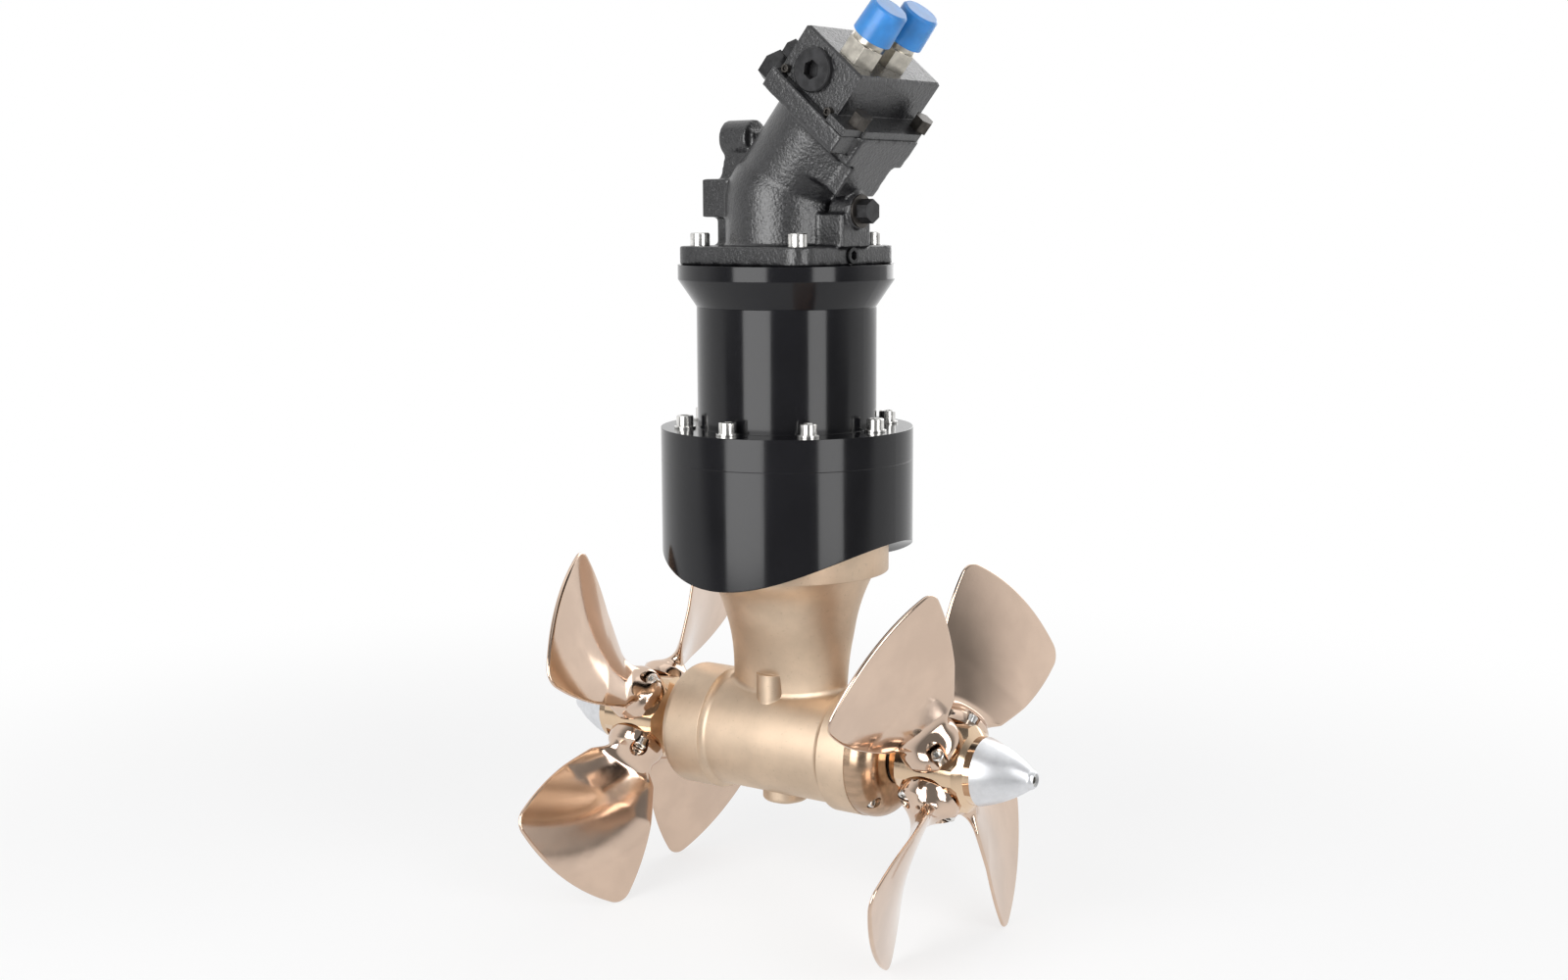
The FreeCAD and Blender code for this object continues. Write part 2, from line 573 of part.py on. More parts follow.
def make_adapter_screws():
    screw = moved(socket_screw(8.0, 30.0), x=76, z=426)
    return group(around(screw, 4, MOTOR_CLOCKING))


def make_bell_flange_screws():
    screw = moved(socket_screw(10.0, 85.0), x=FLANGE_BOLT_RADIUS, z=BELL_FLANGE_TOP + 2)
    return group(around(screw, FLANGE_BOLTS))


def make_bell_flange_washers():
    washer = ring(5.2, 10.0, BELL_FLANGE_TOP, BELL_FLANGE_TOP + 2, AXIS_Z, Vector(FLANGE_BOLT_RADIUS, 0, 0))
    return group(around(washer, FLANGE_BOLTS))


def make_leg_clamp_screws():
    screw = moved(socket_screw(12.0, 54.0), x=48, z=SADDLE_TOP)
    return group(around(screw, 4, 45))


def make_leg_seal_ring():
    return ring(SPIGOT_RADIUS - 3, SPIGOT_RADIUS, 230.0, 235.0)


def coupling_jaws(first):
    """Three jaws of one coupling half, between the two halves."""
    sector = Part.makeCylinder(COUPLING_RADIUS, JAW_TOP - JAW_BOTTOM, Vector(0, 0, JAW_BOTTOM), AXIS_Z, 40)
    sector = sector.cut(cylinder(15.0, JAW_BOTTOM - 1, JAW_TOP + 1))
    return around(sector, 3, first)


def make_coupling_leg_half():
    body = cylinder(COUPLING_RADIUS, 302.0, JAW_BOTTOM)
    return joined([body] + coupling_jaws(0)).cut(cylinder(14.0, 300, JAW_BOTTOM - 2))


def make_coupling_motor_half():
    body = cylinder(COUPLING_RADIUS, JAW_TOP, 404.0)
    return joined([body] + coupling_jaws(60)).cut(cylinder(14.0, JAW_TOP + 2, 405))


def make_coupling_spider():
    """Elastic star between the jaws."""
    star = cylinder(COUPLING_RADIUS - 1, JAW_BOTTOM, JAW_TOP)
    return star.cut(coupling_jaws(0) + coupling_jaws(60)).cut(cylinder(8.0, JAW_BOTTOM - 1, JAW_TOP + 1))


# ---------------------------------------------------------------- motor

def on_motor(shape):
    """From the motor's own frame to its place on the thruster."""
    return moved(turned(shape, MOTOR_CLOCKING), z=MOTOR_FLANGE_TOP)


def inclined(shape):
    """From the barrel's frame, with its axis on Z and the bend at the origin, to the motor frame."""
    return moved(turned(shape, MOTOR_TILT, AXIS_Y), z=MOTOR_PIVOT)


def barrel_box(low, high, half_width, start, end):
    """Box in the barrel's frame: from low to high across the lean, and along the axis."""
    return Part.makeBox(high - low, 2 * half_width, end - start, Vector(low, -half_width, start))


def barrel_prism(outline, start, end):
    """Prism in the barrel's frame from an outline of (across the lean, to the side) corners."""
    corners = [Vector(across, side, start) for across, side in outline]
    return Part.Face(Part.makePolygon(corners + corners[:1])).extrude(AXIS_Z * (end - start))


def low_edge_outline(depth):
    """Low edge of the end flange and of the block's foot, from the left side to the right one."""
    return [(PLATE_EDGE, -70.0), (PLATE_EDGE, -KEEL_WIDTH), (depth, -KEEL_WIDTH), (depth, KEEL_WIDTH),
            (48.0, BLOCK_HALF_WIDTH)]


def make_motor_keel():
    """Underside of the barrel housing: a narrow keel that widens towards the end flange."""
    section = [(0.0, -40.0), (23.2, -44.3), (50.4, -30.0), (KEEL_DEPTH, -30.0), (KEEL_DEPTH, 30.0), (50.4, 30.0),
               (23.2, 44.3), (0.0, 40.0)]
    corners = [Vector(0, side, along) for side, along in
               ((-70.0, PLATE_START + 1), (-30.0, 74.0), (30.0, 78.0), (KEEL_WIDTH, 80.0),
                (BLOCK_HALF_WIDTH, PLATE_START + 1))]
    shoulder = Part.Face(Part.makePolygon(corners + corners[:1])).extrude(AXIS_X * 48)
    return joined([barrel_prism(section, 46.0, 79.0), shoulder,
                   barrel_box(0.0, KEEL_DEPTH, KEEL_WIDTH, 79.0, PLATE_START + 1)])


def plate_bolt_places():
    across, width = LEDGE_BOLT
    return [(across, -width), (across, width)]


def make_motor_housing():
    """Bent-axis motor casting: mounting flange, bearing housing, bend, barrel housing, end flange."""
    flange_bottom = ADAPTER_TOP - MOTOR_FLANGE_TOP
    flange = rounded_plate(MOTOR_FLANGE_SIDE, MOTOR_FLANGE_SIDE, MOTOR_FLANGE_CORNER, flange_bottom, 0.0)
    pilot = cylinder(MOTOR_PILOT_RADIUS, flange_bottom - MOTOR_PILOT_DEPTH, 0.0)
    bearing_housing = cylinder(MOTOR_BODY_RADIUS, -1.0, MOTOR_PIVOT - 8)
    bend = Part.makeSphere(MOTOR_BODY_RADIUS, Vector(0, 0, MOTOR_PIVOT - 8))
    barrel_housing = inclined(cylinder(BARREL_HOUSING_RADIUS, 0.0, PLATE_START + 1))
    plate = inclined(barrel_prism([(-40.0, BLOCK_HALF_WIDTH), (-40.0, -70.0)] + low_edge_outline(KEEL_DEPTH),
                                  PLATE_START, PLATE_END))
    plug_boss = Part.makeBox(46.0, 44.0, 30.0, Vector(34.0, -22.0, -1.0))
    plug_boss = plug_boss.fuse(cylinder(16.0, 60.0, DRAIN_SEAT, AXIS_X, Vector(0, 0, DRAIN_HEIGHT)))
    rear_boss = Part.makeBox(30.0, 34.0, 35.0, Vector(-70.0, -37.0, 26.0))
    rear_web = Part.makeBox(30.0, 12.0, 28.0, Vector(-62.0, -26.0, -1.0))
    vent_boss = cylinder(17.0, 30.0, 62.0, Vector(-1, 0, 0), Vector(0, -6, 98.0))
    corners = [Vector(-61.0, -16, 104), Vector(-60.0, -16, 85), Vector(-66.0, -16, 60), Vector(-30.0, -16, 60),
               Vector(-25.0, -16, 104)]
    vent_web = Part.Face(Part.makePolygon(corners + corners[:1])).extrude(AXIS_Y * 20)
    body = joined([flange, pilot, bearing_housing, bend, barrel_housing, inclined(make_motor_keel()), plate,
                   plug_boss, rear_boss, rear_web, vent_boss, vent_web])
    body = body.cut(cylinder(38.0, flange_bottom + 5, 34.0)).cut(cylinder(24.0, -60.0, 20.0))
    body = body.cut(Part.makeSphere(42.0, Vector(0, 0, MOTOR_PIVOT)))
    body = body.cut(inclined(cylinder(38.0, 0.0, PLATE_END + 1)))
    bolt_hole = cylinder(6.75, flange_bottom - 1, 1.0, AXIS_Z, Vector(MOTOR_BOLT_RADIUS, 0, 0))
    body = body.cut(around(bolt_hole, 4, 45))
    body = body.cut(cylinder(9.0, DRAIN_SEAT - 16, DRAIN_SEAT + 2, AXIS_X, Vector(0, 0, DRAIN_HEIGHT)))
    body = body.cut(cylinder(7.0, 60.0, 80.0, AXIS_X, Vector(0, 0, flange_bottom / 2)))
    body = body.cut(inclined(cylinder(8.0, 27.0, 41.0, Vector(-1, 0, 0), Vector(0, -TOP_PLUG_WIDTH, 98.8))))
    for across, width in plate_bolt_places():
        body = body.cut(inclined(cylinder(5.0, PLATE_START + 2, PLATE_END + 1, AXIS_Z, Vector(across, width, 0))))
    return on_motor(body)


def make_motor_port_block():
    """Connection block on the end of the barrel housing, with both hose ports on its end face."""
    block = barrel_box(-BLOCK_HALF_DEPTH, BLOCK_HALF_DEPTH, BLOCK_HALF_WIDTH, PLATE_END, BLOCK_END)
    block = block.makeChamfer(2.0, [edge for edge in block.Edges if edge.CenterOfMass.z > BLOCK_END - 1])
    foot = [(BLOCK_HALF_DEPTH - 2, BLOCK_HALF_WIDTH), (BLOCK_HALF_DEPTH - 2, -70.0)] + low_edge_outline(60.0)
    block = joined([block, barrel_prism(foot, PLATE_END, LEDGE_TOP)])
    for across, width in plate_bolt_places():
        block = block.cut(cylinder(5.0, PLATE_END - 1, LEDGE_TOP + 1, AXIS_Z, Vector(across, width, 0)))
    for width in FITTING_WIDTHS:
        block = block.cut(cylinder(13.0, 130.0, BLOCK_END + 1, AXIS_Z, Vector(FITTING_DEPTH, -width, 0)))
    block = block.cut(cylinder(16.5, BLOCK_HALF_WIDTH - 6, BLOCK_HALF_WIDTH + 1, Vector(0, -1, 0),
                               Vector(SIDE_PLUG[0], 0, SIDE_PLUG[1])))
    block = block.cut(cylinder(7.0, BLOCK_HALF_DEPTH - 14, BLOCK_HALF_DEPTH + 1, Vector(-1, 0, 0),
                               Vector(0, -TOP_PLUG_WIDTH, 122.0)))
    for across in (-31.0, 29.0):
        block = block.cut(cylinder(2.5, BLOCK_HALF_WIDTH - 12, BLOCK_HALF_WIDTH + 1, Vector(0, -1, 0),
                                   Vector(across, 0, 113.0)))
    return on_motor(inclined(block))


def make_motor_side_plug():
    """Large flanged socket plug on the side of the connection block."""
    flange = cylinder(19.5, 0.0, 5.0)
    rim = [edge for edge in flange.Edges if len(edge.Vertexes) == 1 and edge.CenterOfMass.z > 4]
    plug = joined([flange.makeChamfer(1.2, rim), cylinder(16.5, -6.0, 0.1)]).cut(hexagon(15.0, -4.0, 6.0))
    plug = moved(turned(plug, 90, AXIS_X), x=SIDE_PLUG[0], y=-BLOCK_HALF_WIDTH, z=SIDE_PLUG[1])
    return on_motor(inclined(plug))


def make_port_block_bolts():
    bolts = []
    for across, width in plate_bolt_places():
        shank = cylinder(5.0, PLATE_START + 3, LEDGE_TOP + 0.1, AXIS_Z, Vector(across, width, 0))
        head = moved(hexagon(16.0, LEDGE_TOP, LEDGE_TOP + 12), across, width)
        bolts.append(on_motor(inclined(joined([shank, head]))))
    return group(bolts)


def make_motor_top_plugs():
    """Two hexagon plugs on the upper face: one in the end flange and one in the block."""
    away = Vector(-1, 0, 0)
    large = turned(hexagon(27.0, 0.0, 18.0), -90, AXIS_Y)
    large = joined([moved(large, -40.0, -TOP_PLUG_WIDTH, 98.8),
                    cylinder(8.0, 28.0, 41.0, away, Vector(0, -TOP_PLUG_WIDTH, 98.8))])
    small = turned(hexagon(17.0, 0.0, 13.0), -90, AXIS_Y)
    small = joined([moved(small, -BLOCK_HALF_DEPTH, -TOP_PLUG_WIDTH, 122.0),
                    cylinder(7.0, 24.0, BLOCK_HALF_DEPTH + 1, away, Vector(0, -TOP_PLUG_WIDTH, 122.0))])
    return group([on_motor(inclined(one)) for one in (large, small)])


def make_port_cover_screws():
    screw = turned(socket_screw(5.0, 10.0), 90, AXIS_X)
    return group([on_motor(inclined(moved(screw, across, -BLOCK_HALF_WIDTH, 113.0))) for across in (-31.0, 29.0)])


def make_port_fitting(width):
    """Hose adapter screwed into the connection block: hexagon, collar and male nose."""
    body = joined([cylinder(13.0, 134.0, BLOCK_END + 1), hexagon(32.0, BLOCK_END, 174.0),
                   cylinder(FITTING_COLLAR_RADIUS, 173.0, FITTING_COLLAR_END),
                   cylinder(FITTING_NOSE_RADIUS, FITTING_COLLAR_END - 1, 204.0)])
    body = body.cut(cylinder(8.0, 130.0, 206.0))
    return on_motor(inclined(moved(body, FITTING_DEPTH, -width)))


def make_port_cap(width):
    """Push-on protective cap, closed at its outer end, that grips the collar of the fitting."""
    outer = lathe([(CAP_START, 0.0), (CAP_START, 18.5), (CAP_START + CAP_LENGTH - 2, 17.5),
                   (CAP_START + CAP_LENGTH, 15.5), (CAP_START + CAP_LENGTH, 0.0)])
    cap = outer.cut(cylinder(FITTING_COLLAR_RADIUS + RUNNING_CLEARANCE, CAP_START - 1, FITTING_COLLAR_END + 0.5))
    cap = cap.cut(cylinder(FITTING_NOSE_RADIUS + 0.95, CAP_START, CAP_START + CAP_LENGTH - 4))
    return on_motor(inclined(moved(cap, FITTING_DEPTH, -width)))


def make_motor_drain_plug():
    hexed = joined([hexagon(19.0, 2.0, 14.0), cylinder(9.0, -16.0, 2.5)])
    return on_motor(moved(turned(hexed, 90, AXIS_Y), x=DRAIN_SEAT, z=DRAIN_HEIGHT))


def make_motor_drain_washer():
    return on_motor(ring(9.2, 15.0, DRAIN_SEAT, DRAIN_SEAT + 2, AXIS_X, Vector(0, 0, DRAIN_HEIGHT)))


def make_motor_flange_plug():
    plug = joined([cylinder(7.0, 62.0, 75.1, AXIS_X), cylinder(7.5, MOTOR_FLANGE_SIDE / 2, 77.0, AXIS_X)])
    plug = plug.cut(turned(hexagon(8.0, 71.0, 78.0), 90, AXIS_Y))
    return on_motor(moved(plug, z=(ADAPTER_TOP - MOTOR_FLANGE_TOP) / 2))


def make_motor_mount_screws():
    screw = moved(socket_screw(12.0, 38.0), x=MOTOR_BOLT_RADIUS)
    return group([on_motor(one) for one in around(screw, 4, 45)])


def make_motor_shaft():
    """Output shaft with the drive plate that the piston heads sit in."""
    flange_bottom = ADAPTER_TOP - MOTOR_FLANGE_TOP
    shaft = lathe([(384.0 - MOTOR_FLANGE_TOP, 0.0), (384.0 - MOTOR_FLANGE_TOP, 14.0),
                   (flange_bottom - MOTOR_PILOT_DEPTH - 14, 14.0), (flange_bottom - MOTOR_PILOT_DEPTH - 14, 18.0),
                   (26.0, 18.0), (26.0, 33.0), (42.0, 33.0), (42.0, 0.0)])
    return on_motor(shaft)


def make_motor_bearings():
    low = ADAPTER_TOP - MOTOR_FLANGE_TOP + 6
    return group([on_motor(bearing(18.0 + RUNNING_CLEARANCE, 38.0, start, start + BEARING_WIDTH, AXIS_Z))
                  for start in (low, low + BEARING_WIDTH + 2)])


def make_motor_shaft_seal():
    low = ADAPTER_TOP - MOTOR_FLANGE_TOP - MOTOR_PILOT_DEPTH + 1
    return on_motor(ring(18.0 + RUNNING_CLEARANCE, 24.0, low, low + 8))


def make_cylinder_barrel():
    """Barrel that turns on the inclined axis, with a ring of piston bores."""
    barrel = cylinder(34.0, 50.0, PLATE_END - 1)
    bore = cylinder(7.0, 49.0, PLATE_END - 12, AXIS_Z, Vector(PISTON_CIRCLE, 0, 0))
    return on_motor(inclined(barrel.cut(around(bore, PISTONS))))


def make_pistons():
    rod = joined([cylinder(4.5, 30.0, 56.0), cylinder(6.95, 55.0, 80.0), Part.makeSphere(6.0, Vector(0, 0, 30.0))])
    return group([on_motor(inclined(one)) for one in around(moved(rod, x=PISTON_CIRCLE), PISTONS)])


# ---------------------------------------------------------------- all pieces

def all_pieces():
    """Every piece by its name."""
    pieces = {
        "motor_housing": make_motor_housing(),
        "motor_port_block": make_motor_port_block(),
        "motor_side_plug": make_motor_side_plug(),
        "motor_drain_plug": make_motor_drain_plug(),
        "motor_drain_washer": make_motor_drain_washer(),
        "motor_flange_plug": make_motor_flange_plug(),
        "port_block_bolts": make_port_block_bolts(),
        "motor_top_plugs": make_motor_top_plugs(),
        "port_cover_screws": make_port_cover_screws(),
        "port_fitting_a": make_port_fitting(FITTING_WIDTHS[0]),
        "port_fitting_b": make_port_fitting(FITTING_WIDTHS[1]),
        "port_cap_a": make_port_cap(FITTING_WIDTHS[0]),
        "port_cap_b": make_port_cap(FITTING_WIDTHS[1]),
        "motor_mount_screws": make_motor_mount_screws(),
        "motor_shaft": make_motor_shaft(),
        "motor_bearings": make_motor_bearings(),
        "motor_shaft_seal": make_motor_shaft_seal(),
        "cylinder_barrel": make_cylinder_barrel(),
        "pistons": make_pistons(),
        "motor_adapter": make_motor_adapter(),
        "adapter_screws": make_adapter_screws(),
        "bell_housing": make_bell_housing(),
        "bell_flange_screws": make_bell_flange_screws(),
        "bell_flange_washers": make_bell_flange_washers(),
        "saddle_flange": make_saddle_flange(),
        "leg_clamp_screws": make_leg_clamp_screws(),
        "coupling_motor_half": make_coupling_motor_half(),
        "coupling_spider": make_coupling_spider(),
        "coupling_leg_half": make_coupling_leg_half(),
        "gear_leg": make_gear_leg(),
        "leg_seal_ring": make_leg_seal_ring(),
        "drive_shaft": make_drive_shaft(),
        "drive_shaft_bearings": make_drive_shaft_bearings(),
        "drive_shaft_seal": make_drive_shaft_seal(),
        "bevel_pinion": make_bevel_pinion(),
        "prop_shaft_bearings": make_prop_shaft_bearings(),
        "prop_shaft_seals": make_prop_shaft_seals(),
        "bearing_carrier": make_bearing_carrier(),
        "carrier_screws": make_carrier_screws(),
        "gear_oil_plug": make_gear_oil_plug(),
    }
    gear = make_right_bevel_gear()
    pieces["right_bevel_gear"] = gear
    pieces["left_bevel_gear"] = gear.mirror(ORIGIN, AXIS_X)
    pieces["right_prop_shaft"] = make_prop_shaft()
    pieces["left_prop_shaft"] = make_left_prop_shaft()
    pieces["right_hub"] = make_hub(CARRIER_END + 2)
    pieces["left_hub"] = on_left(make_hub(LEFT_SHIFT - POD_LEFT_END + 2))
    blade = make_blade()
    for index in range(BLADES_PER_PROPELLER):
        placed = turned(blade, blade_angle(index) - 90, AXIS_X)
        pieces["right_blade_%d" % (index + 1)] = placed
        pieces["left_blade_%d" % (index + 1)] = on_left(placed)
    screws = blade_screws()
    pieces["right_blade_screws"] = group(screws)
    pieces["left_blade_screws"] = group([on_left(one) for one in screws])
    pieces["right_nose_cone"] = make_nose_cone()
    pieces["left_nose_cone"] = on_left(make_nose_cone())
    pieces["right_nose_screw"] = make_nose_screw()
    pieces["left_nose_screw"] = on_left(make_nose_screw())
    return pieces


def main():
    os.makedirs("parts", exist_ok=True)
    for name, shape in all_pieces().items():
        shape.exportStep("parts/%s.step" % name)
        print("%-22s solids %d  valid %s  volume %.0f" % (name, len(shape.Solids), shape.isValid(), shape.Volume))


main()
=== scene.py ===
import math

import bmesh
import bpy
import numpy as np
from mathutils import Matrix, Vector


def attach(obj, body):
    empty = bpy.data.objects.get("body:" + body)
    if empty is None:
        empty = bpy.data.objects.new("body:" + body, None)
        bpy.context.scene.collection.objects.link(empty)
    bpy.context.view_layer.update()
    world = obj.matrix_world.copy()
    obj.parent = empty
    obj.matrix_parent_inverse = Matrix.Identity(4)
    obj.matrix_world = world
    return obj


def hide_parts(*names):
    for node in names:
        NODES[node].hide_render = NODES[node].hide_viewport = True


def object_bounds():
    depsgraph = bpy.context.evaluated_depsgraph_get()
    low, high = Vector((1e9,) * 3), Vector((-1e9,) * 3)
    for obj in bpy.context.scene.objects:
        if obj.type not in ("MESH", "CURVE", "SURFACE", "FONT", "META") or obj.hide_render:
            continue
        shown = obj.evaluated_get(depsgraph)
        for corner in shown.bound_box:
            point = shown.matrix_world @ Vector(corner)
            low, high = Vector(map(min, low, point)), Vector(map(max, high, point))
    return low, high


bl_info = {
    "name": "Bow thruster",
    "version": (1, 0, 0),
    "blender": (4, 5, 0),
    "location": "3D View > Sidebar > Thruster",
    "description": "Finishes and cast surfaces of a hydraulic bow thruster with two propellers",
    "category": "Object",
}

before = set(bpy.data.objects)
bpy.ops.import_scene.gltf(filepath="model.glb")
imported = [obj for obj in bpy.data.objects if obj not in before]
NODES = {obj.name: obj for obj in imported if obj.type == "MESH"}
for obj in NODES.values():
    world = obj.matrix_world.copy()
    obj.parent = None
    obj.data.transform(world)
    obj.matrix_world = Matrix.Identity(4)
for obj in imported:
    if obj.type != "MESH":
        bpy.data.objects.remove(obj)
CAD_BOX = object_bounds()

MM = 0.001
SIDES = ("right", "left")
SMOOTH_ANGLE = math.radians(35.0)

# Motor casting: size of its remade cells in metres, and how many times they are relaxed
CAST_CELL, RELAX_PASSES = 0.0016, 5

# Propeller blade, in millimetres, standing on Z with X along the propeller axis
BLADES = 4
FIRST_BLADE_ANGLE = 45.0
HUB_CENTRE = 170.0
LEFT_SHIFT = 5.0             # the left propeller stands this much closer to the leg
TIP_RADIUS = 190.0
HALF_WIDTH = 73.0
CORNER_RADIUS = 16.0
RIM_RADIUS = 1.5             # half the thickness at the leading and trailing edge
PITCH, ROOT_PITCH = 340.0, 250.0
PITCH_START, PITCH_REACH = 38.0, 60.0    # height where the pitch starts to grow, and over how much
RAKE = 7.0
FOOT_SEAT, FOOT_EDGE, FOOT_CROWN, FOOT_RADIUS = 33.0, 38.5, 56.0, 29.0
FOOT_CHAMFER, FOOT_ROUND = 0.3, 0.8
FAIRING_START, FAIRING_LIFT, FAIRING_TAPER = 42.0, 6.0, 0.6
PADDLE_START = 66.0
SCREW_OFFSET, SCREW_ANGLE, SCREW_HOLE_RADIUS = 22.0, 40.0, 4.3
POCKET_RADIUS, POCKET_TOP = 8.5, 74.0
STATION_HEIGHTS = (38.0, 50.0, 75.0, 105.0, 135.0, 165.0, 196.0)
STATION_WIDTHS = (17.0, 23.0, 38.0, 54.0, 66.0, 73.5, 76.0)
STATION_THICKNESS = (15.0, 12.5, 10.0, 8.2, 6.8, 5.4, 4.2)


# ---------------------------------------------------------------- finishes

class Signal:
    """A shader value that can stand in a Python expression; each operator adds one Math node."""

    def __init__(self, finish, socket):
        self.finish = finish
        self.socket = socket

    def maths(self, operation, *others):
        return self.finish.node("Math", {"operation": operation}, dict(enumerate((self,) + others)))

    def reflected(self, operation, other):
        return self.finish.node("Math", {"operation": operation}, {0: other, 1: self})

    def __add__(self, other):
        return self.maths("ADD", other)

    def __sub__(self, other):
        return self.maths("SUBTRACT", other)

    def __mul__(self, other):
        return self.maths("MULTIPLY", other)

    def __pow__(self, other):
        return self.maths("POWER", other)

    def __radd__(self, other):
        return self.reflected("ADD", other)

    def __rsub__(self, other):
        return self.reflected("SUBTRACT", other)

    def step(self, low, high):
        """Smooth change from 0 at low to 1 at high, held at both ends."""
        return self.finish.node("MapRange", {"interpolation_type": "SMOOTHSTEP", "clamp": True},
                                {"Value": self, "From Min": low, "From Max": high})


class Finish:
    """A material and the nodes that it is made of."""

    def __init__(self, name, tree=None):
        if tree is None:
            self.material = bpy.data.materials.new(name)
            self.material.use_nodes = True
            tree = self.material.node_tree
        self.tree = tree
        self.tree.nodes.clear()

    def node(self, kind, settings=None, values=None, output=0):
        """Adds a node: its settings first, then the values or links of its sockets."""
        node = self.tree.nodes.new("ShaderNode" + kind)
        for key, value in (settings or {}).items():
            setattr(node, key, value)
        for key, value in (values or {}).items():
            socket = node.inputs[key]
            if isinstance(value, Signal):
                self.tree.links.new(value.socket, socket)
            elif socket.type == "RGBA":
                socket.default_value = tuple(value) + (1.0,)
            else:
                socket.default_value = value
        return Signal(self, node.outputs[output])

    def place(self, scale=(1.0, 1.0, 1.0)):
        """Object coordinates, scaled."""
        return self.node("Mapping", {}, {"Vector": self.node("TexCoord", output=3), "Scale": scale})

    def axes(self, vector):
        """The three parts of a vector."""
        parts = self.node("SeparateXYZ", {}, {"Vector": vector})
        node = parts.socket.node
        return [Signal(self, node.outputs[k]) for k in range(3)]

    def noise(self, vector, scale, detail=3.0, roughness=0.55):
        """Cloudy pattern with so many clouds to a metre."""
        return self.node("TexNoise", {}, {"Vector": vector, "Scale": scale, "Detail": detail,
                                          "Roughness": roughness})

    def mix(self, factor, first, second):
        """Colour between two colours."""
        return self.node("Mix", {"data_type": "RGBA"}, {0: factor, 6: first, 7: second}, 2)

    def bump(self, height, depth, strength, softened=None):
        """Surface normal raised by a height; depth is the height's size in metres."""
        values = {"Strength": strength, "Distance": depth, "Height": height}
        if softened is not None:
            values["Normal"] = softened
        return self.node("Bump", {}, values)

    def rounded_edges(self, radius):
        """Surface normal with every sharp edge softened over a radius."""
        return self.node("Bevel", {"samples": 6}, {"Radius": radius})

    def finish(self, **values):
        """Principled surface from the values, and the material's output."""
        names = {"specular_ior_level": "Specular IOR Level"}
        sockets = {names.get(key, key.replace("_", " ").title()): value for key, value in values.items()}
        self.end(self.node("BsdfPrincipled", {}, sockets))
        return self.material

    def rays(self):
        """1 for a ray that comes from the camera, a mirror or glass; and 1 for one from a mirror."""
        path = self.tree.nodes.new("ShaderNodeLightPath")
        camera, mirror, glass = (Signal(self, path.outputs["Is %s Ray" % kind])
                                 for kind in ("Camera", "Glossy", "Transmission"))
        return camera.maths("MAXIMUM", mirror).maths("MAXIMUM", glass), mirror

    def end(self, surface):
        """Gives the surface to the material's output."""
        output = self.tree.nodes.new("ShaderNodeOutputMaterial")
        self.tree.links.new(surface.socket, output.inputs["Surface"])


def colour_of(name):
    """A colour that the user can change, without its alpha."""
    return tuple(getattr(bpy.context.scene.thruster_colours, name))[:3]


def lighter(colour, factor):
    """A colour times a factor, no brighter than white."""
    return tuple(min(1.0, c * factor) for c in colour)


def blasted_bronze():
    """Cast bronze, blasted to a fine satin grain, with slow changes of tone."""
    f = Finish("blasted_bronze")
    p = f.place()
    tone = f.noise(p, 14.0, 4.0, 0.6)
    grain = f.noise(p, 900.0, 2.0, 0.6)
    pits = f.noise(p, 260.0, 3.0, 0.7).step(0.60, 0.74)
    bronze = colour_of("leg_bronze")
    colour = f.mix(tone.step(0.3, 0.7), lighter(bronze, 0.86), lighter(bronze, 1.08))
    colour = f.mix(pits * 0.35, colour, lighter(bronze, 0.5))
    height = grain * 0.5 + f.noise(p, 420.0, 3.0, 0.6) * 0.6 - pits * 0.6
    return f.finish(base_color=colour, metallic=1.0, roughness=0.42 + grain * 0.14,
                    normal=f.bump(height, 0.00022, 0.55, f.rounded_edges(0.0012)))


def turned_bronze():
    """Machined and polished bronze with fine turning marks round the propeller axis."""
    f = Finish("turned_bronze")
    p = f.place()
    x, y, z = f.axes(p)
    radius = (y * y + z * z) ** 0.5
    marks = ((radius + x) * 5200.0).maths("SINE")
    smear = f.noise(f.place(scale=(1.0, 6.0, 6.0)), 30.0, 3.0)
    copper = colour_of("cap_bronze")
    colour = f.mix(smear.step(0.35, 0.7), lighter(copper, 0.9), lighter(copper, 1.12))
    return f.finish(base_color=colour, metallic=1.0, roughness=0.2 + smear * 0.08,
                    normal=f.bump(marks, 0.000006, 0.25, f.rounded_edges(0.0006)))


def polished_bronze(name, bronze, gloss):
    """Hand-polished bronze: faint long swirls, a slightly uneven surface and a little tarnish."""
    f = Finish(name)
    p = f.place()
    swirl = f.noise(f.place(scale=(1.0, 3.0, 3.0)), 60.0, 4.0, 0.6)
    cloud = f.noise(p, 22.0, 3.0, 0.5)
    colour = f.mix(cloud.step(0.35, 0.7), lighter(bronze, 0.94), lighter(bronze, 1.04))
    rough = gloss + f.noise(p, 45.0, 5.0, 0.65).step(0.45, 0.8) * 0.06
    return f.finish(base_color=colour, metallic=1.0, roughness=rough,
                    normal=f.bump(cloud + swirl * 0.05, 0.0012, 0.10))


def turned_anode():
    """Turned light-grey anode metal, brushed round its axis."""
    f = Finish("turned_anode")
    p = f.place()
    x, y, z = f.axes(p)
    angle = y.maths("ARCTAN2", z)
    wound = f.node("CombineXYZ", {}, {"X": x * 2600.0, "Y": angle * 0.7, "Z": 0.0})
    rings = f.noise(wound, 1.0, 3.0, 0.7)
    dull = f.noise(p, 70.0, 4.0, 0.6)
    grey = colour_of("anode_grey")
    colour = f.mix(dull.step(0.3, 0.75), lighter(grey, 0.9), lighter(grey, 1.05))
    return f.finish(base_color=colour, metallic=1.0, roughness=0.28 + rings * 0.18,
                    normal=f.bump(rings, 0.00005, 0.7))


